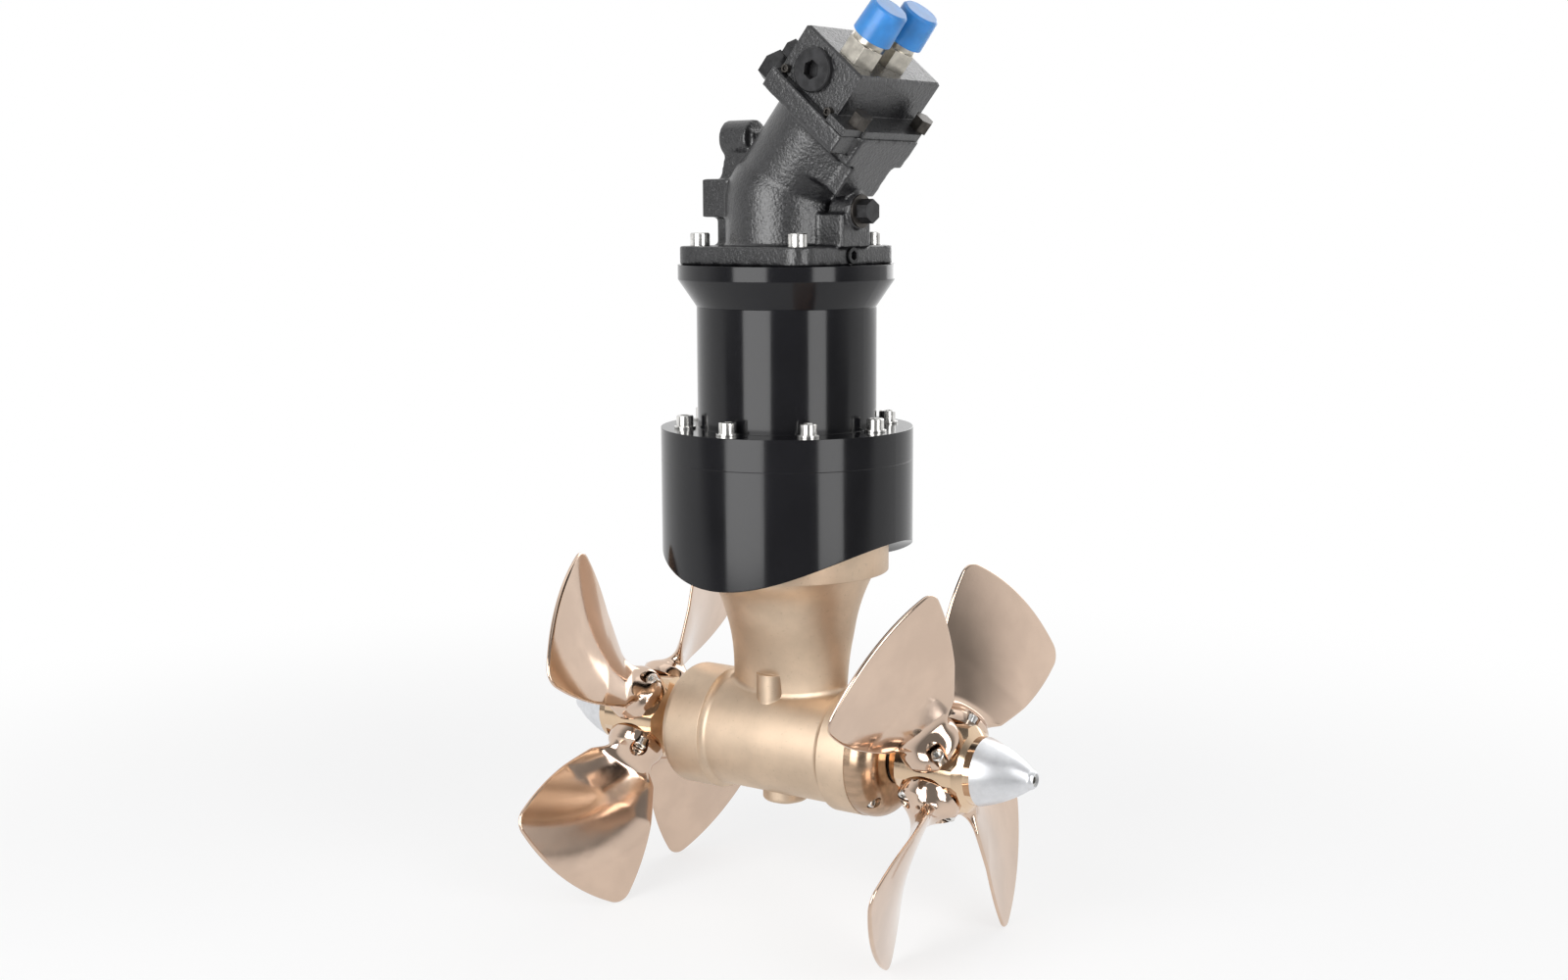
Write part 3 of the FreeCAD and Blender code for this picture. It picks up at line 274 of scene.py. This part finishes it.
def gloss_black():
    """Black hard-anodised aluminium, turned: smooth gloss with fine upright smears and dust."""
    f = Finish("gloss_black")
    p = f.place()
    fine = f.noise(f.place(scale=(1.0, 1.0, 0.02)), 900.0, 2.0, 0.6)
    cloud = f.noise(p, 12.0, 4.0, 0.6)
    specks = f.noise(p, 1500.0, 1.0, 0.5).step(0.74, 0.80)
    black = colour_of("flange_black")
    colour = f.mix(cloud.step(0.3, 0.7), black, lighter(black, 1.4))
    colour = f.mix(specks * 0.25, colour, (0.16, 0.16, 0.16))
    rough = 0.08 + cloud * 0.07 + fine * 0.03
    return f.finish(base_color=colour, roughness=rough, specular_ior_level=0.3,
                    normal=f.bump(fine, 0.00002, 0.3, f.rounded_edges(0.0009)))


def black_cast_paint():
    """Black paint over a rough iron casting, with the pebbled cast skin showing through."""
    f = Finish("black_cast_paint")
    p = f.place()
    skin = f.noise(p, 300.0, 5.0, 0.62)
    dimples = f.node("TexVoronoi", {"feature": "SMOOTH_F1"},
                     {"Vector": p, "Scale": 420.0, "Smoothness": 0.7})
    waves = f.noise(p, 40.0, 3.0, 0.5)
    black = colour_of("motor_black")
    colour = f.mix(skin.step(0.45, 0.75), black, lighter(black, 2.2))
    height = skin + dimples * 0.5 + waves * 1.4
    return f.finish(base_color=colour, roughness=0.20 + skin * 0.20, specular_ior_level=0.85,
                    normal=f.bump(height, 0.0009, 0.55, f.rounded_edges(0.0012)))


def plain_metal(name, colour, roughness, metallic=1.0, grain=700.0, worn=1.25):
    """Small turned or plated part: fine grain, cloudy sheen, softened edges; worn is how light it gets."""
    f = Finish(name)
    p = f.place()
    cloud = f.noise(p, 120.0, 4.0, 0.6)
    fine = f.noise(p, grain, 2.0, 0.6)
    tone = f.mix(cloud.step(0.35, 0.7), lighter(colour, 0.88), lighter(colour, worn))
    return f.finish(base_color=tone, metallic=metallic, roughness=roughness + cloud * 0.12,
                    normal=f.bump(fine, 0.00002, 0.4, f.rounded_edges(0.0005)))


def blue_plastic():
    """Soft moulded polythene of the dust caps, slightly cloudy, with a faint grain."""
    f = Finish("blue_plastic")
    p = f.place()
    cloud = f.noise(p, 60.0, 3.0, 0.5)
    blue = colour_of("cap_blue")
    colour = f.mix(cloud.step(0.3, 0.7), lighter(blue, 0.9), lighter(blue, 1.15))
    return f.finish(base_color=colour, roughness=0.28 + cloud * 0.1, subsurface_weight=0.5,
                    subsurface_radius=(0.002, 0.004, 0.008),
                    normal=f.bump(f.noise(p, 500.0, 2.0), 0.00003, 0.3, f.rounded_edges(0.0008)))


def rubber(name, colour):
    """Moulded rubber: matt with a fine bloom."""
    f = Finish(name)
    p = f.place()
    bloom = f.noise(p, 90.0, 4.0, 0.6)
    tone = f.mix(bloom.step(0.4, 0.75), colour, lighter(colour, 1.6))
    return f.finish(base_color=tone, roughness=0.6 + bloom * 0.2,
                    normal=f.bump(f.noise(p, 800.0, 2.0), 0.00004, 0.4, f.rounded_edges(0.0005)))


def wear(material, *names):
    """Puts a finish on carried-over nodes."""
    for name in names:
        slots = NODES[name].data.materials
        slots.clear()
        slots.append(material)


# ---------------------------------------------------------------- surfaces

def mesh_object(name, points, faces, material=None):
    """Object at the origin from points in metres and faces, smooth up to SMOOTH_ANGLE."""
    mesh = bpy.data.meshes.new(name)
    mesh.from_pydata(points.reshape(-1, 3).tolist(), [], faces)
    mesh.validate()
    mesh.update()
    piece = bpy.data.objects.new(name, mesh)
    bpy.context.scene.collection.objects.link(piece)
    mesh.shade_smooth()
    mesh.set_sharp_from_angle(angle=SMOOTH_ANGLE)
    if material is not None:
        mesh.materials.append(material)
    return piece


def loop_faces(rows, columns):
    """Quads of a grid of closed loops, rows of loops with the last column joined to the first."""
    start = np.arange(rows - 1)[:, None] * columns
    first = start + np.arange(columns)[None, :]
    second = start + ((np.arange(columns) + 1) % columns)[None, :]
    quads = np.stack([first, second, second + columns, first + columns], axis=-1)
    return quads.reshape(-1, 4).tolist()


def applied(piece):
    """The piece with its modifiers made part of its mesh."""
    graph = bpy.context.evaluated_depsgraph_get()
    mesh = bpy.data.meshes.new_from_object(piece.evaluated_get(graph))
    old = piece.data
    piece.modifiers.clear()
    piece.data = mesh
    bpy.data.meshes.remove(old)
    mesh.name = piece.name
    return piece


def merged_copy(node, name):
    """Copy of a carried-over node with its loose triangles joined."""
    mesh = NODES[node].data.copy()
    solid = bmesh.new()
    solid.from_mesh(mesh)
    bmesh.ops.remove_doubles(solid, verts=solid.verts, dist=2e-6)
    solid.to_mesh(mesh)
    solid.free()
    mesh.name = name
    piece = bpy.data.objects.new(name, mesh)
    bpy.context.scene.collection.objects.link(piece)
    return piece


def cast_skin(node, name, material):
    """A casting's skin: the solid remade in small cells and relaxed, so that its edges run round."""
    piece = merged_copy(node, name)
    remake = piece.modifiers.new("cells", "REMESH")
    remake.mode = "VOXEL"
    remake.voxel_size = CAST_CELL
    relax = piece.modifiers.new("relax", "SMOOTH")
    relax.factor = 0.5
    relax.iterations = RELAX_PASSES
    applied(piece)
    piece.data.shade_smooth()
    piece.data.materials.clear()
    piece.data.materials.append(material)
    return piece


def half_width_at(height):
    """Half width of a blade: a smooth curve through the stations, held at the widest."""
    return np.minimum(HALF_WIDTH, np.polyval(np.polyfit(STATION_HEIGHTS, STATION_WIDTHS, 4), height))


def thickness_at(height):
    """Thickness of a blade along its middle: a smooth curve through the stations."""
    return np.polyval(np.polyfit(STATION_HEIGHTS, STATION_THICKNESS, 3), height)


def corner_centre():
    """Centre of a blade's rounded outer corner, and the angle at which it meets the tip circle."""
    across = HALF_WIDTH - CORNER_RADIUS
    height = math.sqrt((TIP_RADIUS - CORNER_RADIUS) ** 2 - across ** 2)
    return across, height, math.atan2(height, across)


def gap_to_outline(across, height):
    """Distance from points of a blade to its outline, measured flat."""
    centre_across, centre_height, meeting = corner_centre()
    inside = np.minimum(half_width_at(height) - np.abs(across), TIP_RADIUS - np.hypot(across, height))
    beyond_across, beyond_height = np.abs(across) - centre_across, height - centre_height
    turned = np.arctan2(beyond_height, beyond_across)
    in_corner = (beyond_across > 0) & (beyond_height > 0) & (turned < meeting)
    return np.where(in_corner, CORNER_RADIUS - np.hypot(beyond_across, beyond_height), inside)


def on_blade(across, height, share, side, gap):
    """Points on a blade's faces.

    The middle surface is x = rake(h) - advance(h) * atan(across / h), y = -across. Each face stands
    off it by the half thickness, rim + (thickness / 2 - rim) * (1 - share squared), and the half
    thickness falls to zero along a quarter circle at the outline."""
    grown = np.clip((height - PITCH_START) / PITCH_REACH, 0, 1)
    advance = (ROOT_PITCH + (PITCH - ROOT_PITCH) * grown) / (2 * math.pi)
    rake = RAKE * (height - FOOT_SEAT) / (TIP_RADIUS - FOOT_SEAT)
    along = rake - advance * np.arctan2(across, height)
    slope = -advance * height / (height ** 2 + across ** 2)
    length = np.hypot(1.0, slope)
    full = RIM_RADIUS + (thickness_at(height) / 2 - RIM_RADIUS) * (1 - share ** 2)
    half = full * np.sqrt(np.clip(1 - (1 - np.clip(gap / full, 0, 1)) ** 2, 0, 1))
    stand = side * half / length
    return np.stack([along + stand, -(across - stand * slope), height], axis=-1)


def resampled(points, shares):
    """Points at given shares of a line's length."""
    length = np.concatenate([[0], np.cumsum(np.hypot(*np.diff(points, axis=0).T))])
    return np.stack([np.interp(shares * length[-1], length, points[:, k]) for k in range(2)], axis=-1)


def paddle_grid(shares, rows):
    """Flat grid of a blade between its root line, its two edges and its tip.

    With L, H, R, S the points on the low, high, right and left edges, it is the Coons patch
    (1 - v) L + v H + (1 - u) R + u S less the corners; v grows to 1 - (1 - t) ** 1.6, closer at the tip."""
    centre_across, centre_height, meeting = corner_centre()

    def corner(start, end):
        angle = np.linspace(start, end, 24)
        return np.stack([centre_across + CORNER_RADIUS * np.cos(angle),
                         centre_height + CORNER_RADIUS * np.sin(angle)], axis=-1)

    heights = np.linspace(PADDLE_START, centre_height, 120)
    edge = np.concatenate([np.stack([half_width_at(heights), heights], axis=-1), corner(0, meeting / 2)])
    angle = np.linspace(meeting, math.pi / 2, 60)
    tip = TIP_RADIUS * np.stack([np.cos(angle), np.sin(angle)], axis=-1)
    half_top = np.concatenate([corner(meeting / 2, meeting), tip])
    top = np.concatenate([half_top, half_top[::-1] * (-1, 1)])
    u = ((1 - shares) / 2)[None, :, None]
    v = (1 - (1 - np.linspace(0, 1, rows)) ** 1.6)
    right = resampled(edge, v)[:, None, :]
    left = right * (-1, 1)
    root = shares * half_width_at(PADDLE_START)
    low = np.stack([root, np.full_like(shares, PADDLE_START)], axis=-1)[None]
    high = resampled(top, (1 - shares) / 2)[None]
    v = v[:, None, None]
    corners = ((1 - u) * (1 - v) * right[0] + u * (1 - v) * left[0]
               + (1 - u) * v * right[-1] + u * v * left[-1])
    return (1 - v) * low + v * high + (1 - u) * right + u * left - corners


def blade_rows(columns=96, fairing=18, rows=56):
    """Closed loops of one blade, from the rim of its round foot to the tip, in millimetres.

    The fairing goes from circles on an oval dome, z = edge + (crown - edge) * sqrt(1 - (r / R) squared),
    to the lens section of the root, by a smooth share of each."""
    turn = 2 * math.pi * np.arange(columns) / columns
    shares, side = np.cos(turn), np.sign(np.round(np.sin(turn), 9))
    grid = paddle_grid(shares, rows)
    across, height = grid[..., 0], grid[..., 1]
    paddle = on_blade(across, height, shares, side, gap_to_outline(across, height))
    first = math.atan2(paddle[0, 0, 1], paddle[0, 0, 0])
    ring = np.stack([np.cos(first + turn), np.sin(first + turn)], axis=-1)
    foot = [np.column_stack([ring * (FOOT_RADIUS - inward), np.full(columns, height)])
            for inward, height in ((FOOT_CHAMFER, FOOT_SEAT), (0.0, FOOT_SEAT + FOOT_CHAMFER),
                                   (0.0, FOOT_EDGE - FOOT_ROUND),
                                   (FOOT_ROUND / 4, FOOT_EDGE - FOOT_ROUND / 8))]
    dome = []
    for t in np.linspace(0.0, 1.0, fairing)[:-1]:
        radius = (FOOT_RADIUS - FOOT_ROUND * 3 / 4) * (1 - FAIRING_TAPER * t)
        height = FOOT_EDGE + (FOOT_CROWN - FOOT_EDGE) * math.sqrt(1 - (radius / FOOT_RADIUS) ** 2)
        circle = np.column_stack([ring * radius, np.full(columns, height)])
        station = FAIRING_START + (PADDLE_START - FAIRING_START) * t
        across = shares * half_width_at(station)
        gap = half_width_at(station) - np.abs(across)
        lens = on_blade(across, np.full(columns, station), shares, side, gap)
        lens[:, 2] += FAIRING_LIFT * (1 - t)
        share = t * t * (3 - 2 * t)
        dome.append(circle * (1 - share) + lens * share)
    return np.concatenate([np.array(foot), np.array(dome), paddle])


def pocket(along, across, radius, low, high):
    """Upright round cutter for one screw, in metres."""
    solid = bmesh.new()
    place = Matrix.Translation(Vector((along, across, (low + high) / 2)) * MM)
    bmesh.ops.create_cone(solid, cap_ends=True, segments=48, radius1=radius * MM, radius2=radius * MM,
                          depth=(high - low) * MM, matrix=place)
    mesh = bpy.data.meshes.new("pocket")
    solid.to_mesh(mesh)
    solid.free()
    return bpy.data.objects.new("pocket", mesh)


def blade_mesh():
    """One finished blade at the propeller's centre, standing on Z, with its two screw pockets cut."""
    loops = blade_rows()
    rows, columns = loops.shape[:2]
    faces = loop_faces(rows, columns) + [list(range(columns))[::-1]]
    blade = mesh_object("blade", loops * MM, faces)
    solid = bmesh.new()
    solid.from_mesh(blade.data)
    bmesh.ops.remove_doubles(solid, verts=solid.verts, dist=1e-6)
    bmesh.ops.recalc_face_normals(solid, faces=solid.faces)
    solid.to_mesh(blade.data)
    solid.free()
    cutters = []
    for sign in (1, -1):
        along = sign * SCREW_OFFSET * math.cos(math.radians(SCREW_ANGLE))
        across = -sign * SCREW_OFFSET * math.sin(math.radians(SCREW_ANGLE))
        cutters.append(pocket(along, across, POCKET_RADIUS, FOOT_EDGE - 1, POCKET_TOP))
        cutters.append(pocket(along, across, SCREW_HOLE_RADIUS, FOOT_SEAT - 1, FOOT_EDGE))
    for cutter in cutters:
        bpy.context.scene.collection.objects.link(cutter)
        cut = blade.modifiers.new("cut", "BOOLEAN")
        cut.operation, cut.solver, cut.object = "DIFFERENCE", "EXACT", cutter
    applied(blade)
    for cutter in cutters:
        bpy.data.objects.remove(cutter)
    mesh = blade.data
    bpy.data.objects.remove(blade)
    return mesh


# ---------------------------------------------------------------- what a user can change

def colour_setting(name, description, colour):
    """A colour that the panel shows."""
    return bpy.props.FloatVectorProperty(name=name, description=description, subtype="COLOR", size=3,
                                         min=0, max=1, default=colour)


class ThrusterColours(bpy.types.PropertyGroup):
    """Colours of the finishes, before shading."""

    leg_bronze: colour_setting("Leg", "Blasted bronze of the gear leg", (0.63, 0.495, 0.37))
    cap_bronze: colour_setting("End cap", "Machined bronze of the bearing carrier", (0.43, 0.30, 0.205))
    hub_bronze: colour_setting("Hubs", "Polished bronze of the hubs", (0.74, 0.55, 0.38))
    blade_bronze: colour_setting("Blades", "Polished bronze of the blades", (0.66, 0.505, 0.40))
    anode_grey: colour_setting("Anodes", "Turned metal of the nose cones", (0.74, 0.75, 0.77))
    flange_black: colour_setting("Flanges", "Anodised flange, bell and adapter", (0.005, 0.005, 0.006))
    motor_black: colour_setting("Motor", "Paint of the motor casting", (0.007, 0.007, 0.008))
    cap_blue: colour_setting("Dust caps", "Plastic of the port caps", (0.028, 0.178, 0.45))


class ThrusterStudio(bpy.types.PropertyGroup):
    """Floor, light and camera."""

    lens: bpy.props.FloatProperty(name="Lens", description="Focal length of the camera",
                                  subtype="DISTANCE_CAMERA", default=44.24, min=10.0, max=300.0)
    lamp_level: bpy.props.FloatProperty(name="Lamps", description="Brightness of the soft lamps",
                                        default=1.0, min=0.0)
    room_level: bpy.props.FloatProperty(name="Room", default=0.25, min=0.0, max=1.0,
                                        description="Brightness of the room behind the camera in mirrors")
    fill_level: bpy.props.FloatProperty(name="Fill", default=0.35, min=0.0,
                                        description="Brightness of the even light from all round")


# ---------------------------------------------------------------- pieces

class THRUSTER_OT_gear_leg(bpy.types.Operator):
    """Gear leg, its end cap and its plug"""

    bl_idname = "thruster.gear_leg"
    bl_label = "Gear leg"

    def execute(self, context):
        wear(blasted_bronze(), "gear_leg")
        wear(turned_bronze(), "bearing_carrier")
        wear(plain_metal("plug_bronze", (0.62, 0.44, 0.26), 0.30), "gear_oil_plug")
        return {"FINISHED"}


class THRUSTER_OT_propellers(bpy.types.Operator):
    """Blades, hubs and nose cones of both propellers"""

    bl_idname = "thruster.propellers"
    bl_label = "Propellers"

    def execute(self, context):
        blade = polished_bronze("polished_blade", colour_of("blade_bronze"), 0.09)
        hub = polished_bronze("polished_hub", colour_of("hub_bronze"), 0.10)
        anode = turned_anode()
        pattern = blade_mesh()
        pattern.materials.append(blade)
        for side in SIDES:
            for index in range(BLADES):
                self.make_blade(pattern, side, index)
            wear(hub, side + "_hub")
            wear(anode, side + "_nose_cone")
        bpy.data.meshes.remove(pattern)
        return {"FINISHED"}

    def make_blade(self, pattern, side, index):
        """One blade at its angle; those of the left propeller are mirror images."""
        turn = math.radians(FIRST_BLADE_ANGLE + 360.0 * index / BLADES - 90.0)
        place = Matrix.Rotation(turn, 4, "X") @ Matrix.Translation((HUB_CENTRE * MM, 0, 0))
        if side == "left":
            place = Matrix.Translation((LEFT_SHIFT * MM, 0, 0)) @ Matrix.Scale(-1, 4, (1, 0, 0)) @ place
        mesh = pattern.copy()
        mesh.transform(place)
        if side == "left":
            mesh.flip_normals()
        mesh.shade_smooth()
        mesh.set_sharp_from_angle(angle=SMOOTH_ANGLE)
        name = "%s_blade_%d" % (side, index + 1)
        mesh.name = name + "_form"
        piece = bpy.data.objects.new(name + "_form", mesh)
        bpy.context.scene.collection.objects.link(piece)
        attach(piece, side + "_propeller")
        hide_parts(name)


class THRUSTER_OT_flanges(bpy.types.Operator):
    """Saddle flange, bell and motor adapter"""

    bl_idname = "thruster.flanges"
    bl_label = "Flanges"

    def execute(self, context):
        wear(gloss_black(), "saddle_flange", "bell_housing", "motor_adapter")
        return {"FINISHED"}


class THRUSTER_OT_motor(bpy.types.Operator):
    """Hydraulic motor: castings and plugs"""

    bl_idname = "thruster.motor"
    bl_label = "Motor"

    def execute(self, context):
        paint = black_cast_paint()
        wear(paint, "motor_port_block")
        housing = cast_skin("motor_housing", "motor_casting", paint)
        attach(housing, "thruster")
        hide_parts("motor_housing")
        plug = plain_metal("black_plug", (0.02, 0.02, 0.021), 0.30, 0.5, worn=1.8)
        wear(plug, "motor_side_plug", "motor_top_plugs", "motor_drain_plug", "motor_flange_plug")
        wear(plain_metal("dark_bolt", (0.06, 0.055, 0.05), 0.32, 0.9, worn=1.6), "port_block_bolts",
             "port_cover_screws", "motor_drain_washer")
        return {"FINISHED"}


class THRUSTER_OT_hose_ports(bpy.types.Operator):
    """Hose fittings and their dust caps"""

    bl_idname = "thruster.hose_ports"
    bl_label = "Hose ports"

    def execute(self, context):
        wear(plain_metal("zinc_plate", (0.52, 0.49, 0.43), 0.24), "port_fitting_a", "port_fitting_b")
        wear(blue_plastic(), "port_cap_a", "port_cap_b")
        return {"FINISHED"}


class THRUSTER_OT_screws(bpy.types.Operator):
    """Stainless screws and washers"""

    bl_idname = "thruster.screws"
    bl_label = "Screws"

    def execute(self, context):
        steel = plain_metal("stainless", (0.68, 0.67, 0.65), 0.16)
        wear(steel, "bell_flange_screws", "bell_flange_washers", "motor_mount_screws", "carrier_screws",
             "leg_clamp_screws", "adapter_screws")
        for side in SIDES:
            wear(steel, side + "_blade_screws", side + "_nose_screw")
        return {"FINISHED"}


class THRUSTER_OT_inner_parts(bpy.types.Operator):
    """Shafts, gears, bearings, seals and coupling inside the housings"""

    bl_idname = "thruster.inner_parts"
    bl_label = "Inner parts"

    def execute(self, context):
        steel = plain_metal("ground_steel", (0.45, 0.45, 0.46), 0.22, grain=1500.0)
        wear(steel, "drive_shaft", "bevel_pinion", "right_bevel_gear", "left_bevel_gear",
             "right_prop_shaft", "left_prop_shaft", "prop_shaft_bearings", "drive_shaft_bearings",
             "motor_bearings", "motor_shaft", "cylinder_barrel", "pistons", "coupling_leg_half",
             "coupling_motor_half")
        wear(rubber("black_rubber", (0.018, 0.018, 0.018)), "prop_shaft_seals", "drive_shaft_seal",
             "motor_shaft_seal", "leg_seal_ring")
        wear(rubber("elastomer", (0.42, 0.05, 0.03)), "coupling_spider")
        return {"FINISHED"}


class THRUSTER_OT_studio(bpy.types.Operator):
    """Floor, soft lamps, pale surroundings and camera"""

    bl_idname = "thruster.studio"
    bl_label = "Studio"

    camera_place = Vector((0.9974, -1.4927, 0.5020))
    camera_forward = Vector((-0.5512, 0.8218, -0.1448))
    camera_roll = -0.00398
    floor_half_width = 6.0
    floor_gap = 0.0005
    # Name; turn and lift in degrees; distance, width and height in metres; strength
    lamps = (("soft_left", -38.0, 8.0, 1.7, 1.1, 2.0, 5.4),
             ("soft_right", 38.0, 6.0, 1.7, 0.7, 2.0, 4.8),
             ("soft_back", 150.0, 25.0, 1.7, 1.4, 1.4, 1.8),
             ("soft_top", 10.0, 82.0, 1.6, 1.5, 1.5, 0.5))

    def execute(self, context):
        studio = context.scene.thruster_studio
        self.make_camera(context, studio)
        self.make_floor()
        self.make_surroundings(context, studio)
        low, high = CAD_BOX
        for lamp in self.lamps:
            self.make_lamp((low + high) / 2, studio.lamp_level, *lamp)
        context.scene.view_settings.view_transform = "Standard"
        return {"FINISHED"}

    def make_camera(self, context, studio):
        data = bpy.data.cameras.new("camera")
        data.lens = studio.lens
        data.sensor_width = 36.0
        data.clip_start, data.clip_end = 0.05, 50.0
        camera = bpy.data.objects.new("camera", data)
        context.scene.collection.objects.link(camera)
        forward = self.camera_forward.normalized()
        right = forward.cross(Vector((0, 0, 1))).normalized()
        up = right.cross(forward)
        roll = self.camera_roll
        right, up = (right * math.cos(roll) + up * math.sin(roll),
                     up * math.cos(roll) - right * math.sin(roll))
        turn = Matrix((right, up, -forward)).transposed().to_4x4()
        camera.matrix_world = Matrix.Translation(self.camera_place) @ turn
        context.scene.camera = camera

    def direction(self, turn, lift):
        """Unit vector that is turned from the camera's side of the object, to its right, and lifted."""
        toward = Vector((-self.camera_forward.x, -self.camera_forward.y, 0)).normalized()
        right = Vector((-toward.y, toward.x, 0))
        turn, lift = math.radians(turn), math.radians(lift)
        flat = toward * math.cos(turn) + right * math.sin(turn)
        return flat * math.cos(lift) + Vector((0, 0, math.sin(lift)))

    def make_lamp(self, target, level, name, turn, lift, distance, width, height, strength):
        """Soft rectangular lamp aimed at the object; strength is how bright its face is."""
        data = bpy.data.lights.new(name, "AREA")
        data.shape = "RECTANGLE"
        data.size, data.size_y = width, height
        data.energy = strength * level * math.pi * width * height
        lamp = bpy.data.objects.new(name, data)
        bpy.context.scene.collection.objects.link(lamp)
        away = self.direction(turn, lift)
        lamp.location = target + away * distance
        lamp.rotation_mode = "QUATERNION"
        lamp.rotation_quaternion = away.to_track_quat("Z", "Y")
        lamp.visible_camera = False

    def pale(self, finish, place, mirror, low, high):
        """Strength of the white round the object: 1, but in mirrors less towards the camera's side."""
        ahead = finish.node("VectorMath", {"operation": "DOT_PRODUCT"},
                            {0: place, 1: tuple(self.camera_forward.normalized())}, 1)
        room = bpy.context.scene.thruster_studio.room_level
        return 1.0 - mirror * (1.0 - ahead.step(low, high)) * (1.0 - room)

    def make_floor(self):
        low, high = CAD_BOX
        square = np.array([(-1, -1, 0), (1, -1, 0), (1, 1, 0), (-1, 1, 0)], float)
        corners = square * self.floor_half_width + (0, 0, low.z - self.floor_gap)
        f = Finish("pale_floor")
        p = f.place()
        x, y, z = f.axes(p)
        seen, mirror = f.rays()
        matt = f.node("BsdfDiffuse", {}, {"Color": (0.82, 0.82, 0.82)})
        level = self.pale(f, p, mirror, -0.9, -0.1)
        glow = f.node("Emission", {}, {"Color": (1.0, 1.0, 1.0), "Strength": level})
        far = ((x * x + y * y) ** 0.5).step(0.5, 1.6)
        f.end(f.node("MixShader", {}, {0: seen * (0.72 + far * 0.28), 1: matt, 2: glow}))
        mesh_object("floor", corners, [(0, 1, 2, 3)], f.material)

    def make_surroundings(self, context, studio):
        world = bpy.data.worlds.new("surroundings")
        context.scene.world = world
        world.use_nodes = True
        w = Finish("surroundings", world.node_tree)
        seen, mirror = w.rays()
        fill = w.node("Background", {}, {"Color": (0.97, 0.98, 1.0), "Strength": studio.fill_level})
        level = self.pale(w, w.node("TexCoord"), mirror, -0.5, 0.15)
        white = w.node("Background", {}, {"Color": (1.0, 1.0, 1.0), "Strength": level})
        mixed = w.node("MixShader", {}, {0: seen, 1: fill, 2: white})
        output = w.tree.nodes.new("ShaderNodeOutputWorld")
        w.tree.links.new(mixed.socket, output.inputs["Surface"])


class THRUSTER_PT_panel(bpy.types.Panel):
    """Steps that make the thruster, and its settings"""

    bl_idname = "THRUSTER_PT_panel"
    bl_label = "Bow thruster"
    bl_space_type = "VIEW_3D"
    bl_region_type = "UI"
    bl_category = "Thruster"

    def draw(self, context):
        for step in STEPS:
            self.layout.operator(step.bl_idname)
        for settings in (context.scene.thruster_colours, context.scene.thruster_studio):
            for name in settings.__annotations__:
                self.layout.prop(settings, name)


STEPS = (THRUSTER_OT_studio, THRUSTER_OT_gear_leg, THRUSTER_OT_propellers, THRUSTER_OT_flanges,
         THRUSTER_OT_motor, THRUSTER_OT_hose_ports, THRUSTER_OT_screws, THRUSTER_OT_inner_parts)
SETTINGS = (ThrusterColours, ThrusterStudio)


def register():
    for one in SETTINGS + STEPS + (THRUSTER_PT_panel,):
        bpy.utils.register_class(one)
    bpy.types.Scene.thruster_colours = bpy.props.PointerProperty(type=ThrusterColours)
    bpy.types.Scene.thruster_studio = bpy.props.PointerProperty(type=ThrusterStudio)


def unregister():
    del bpy.types.Scene.thruster_colours
    del bpy.types.Scene.thruster_studio
    for one in reversed(SETTINGS + STEPS + (THRUSTER_PT_panel,)):
        bpy.utils.unregister_class(one)


def main():
    register()
    for step in STEPS:
        group, name = step.bl_idname.split(".")
        getattr(getattr(bpy.ops, group), name)()


if __name__ == "__main__":
    main()
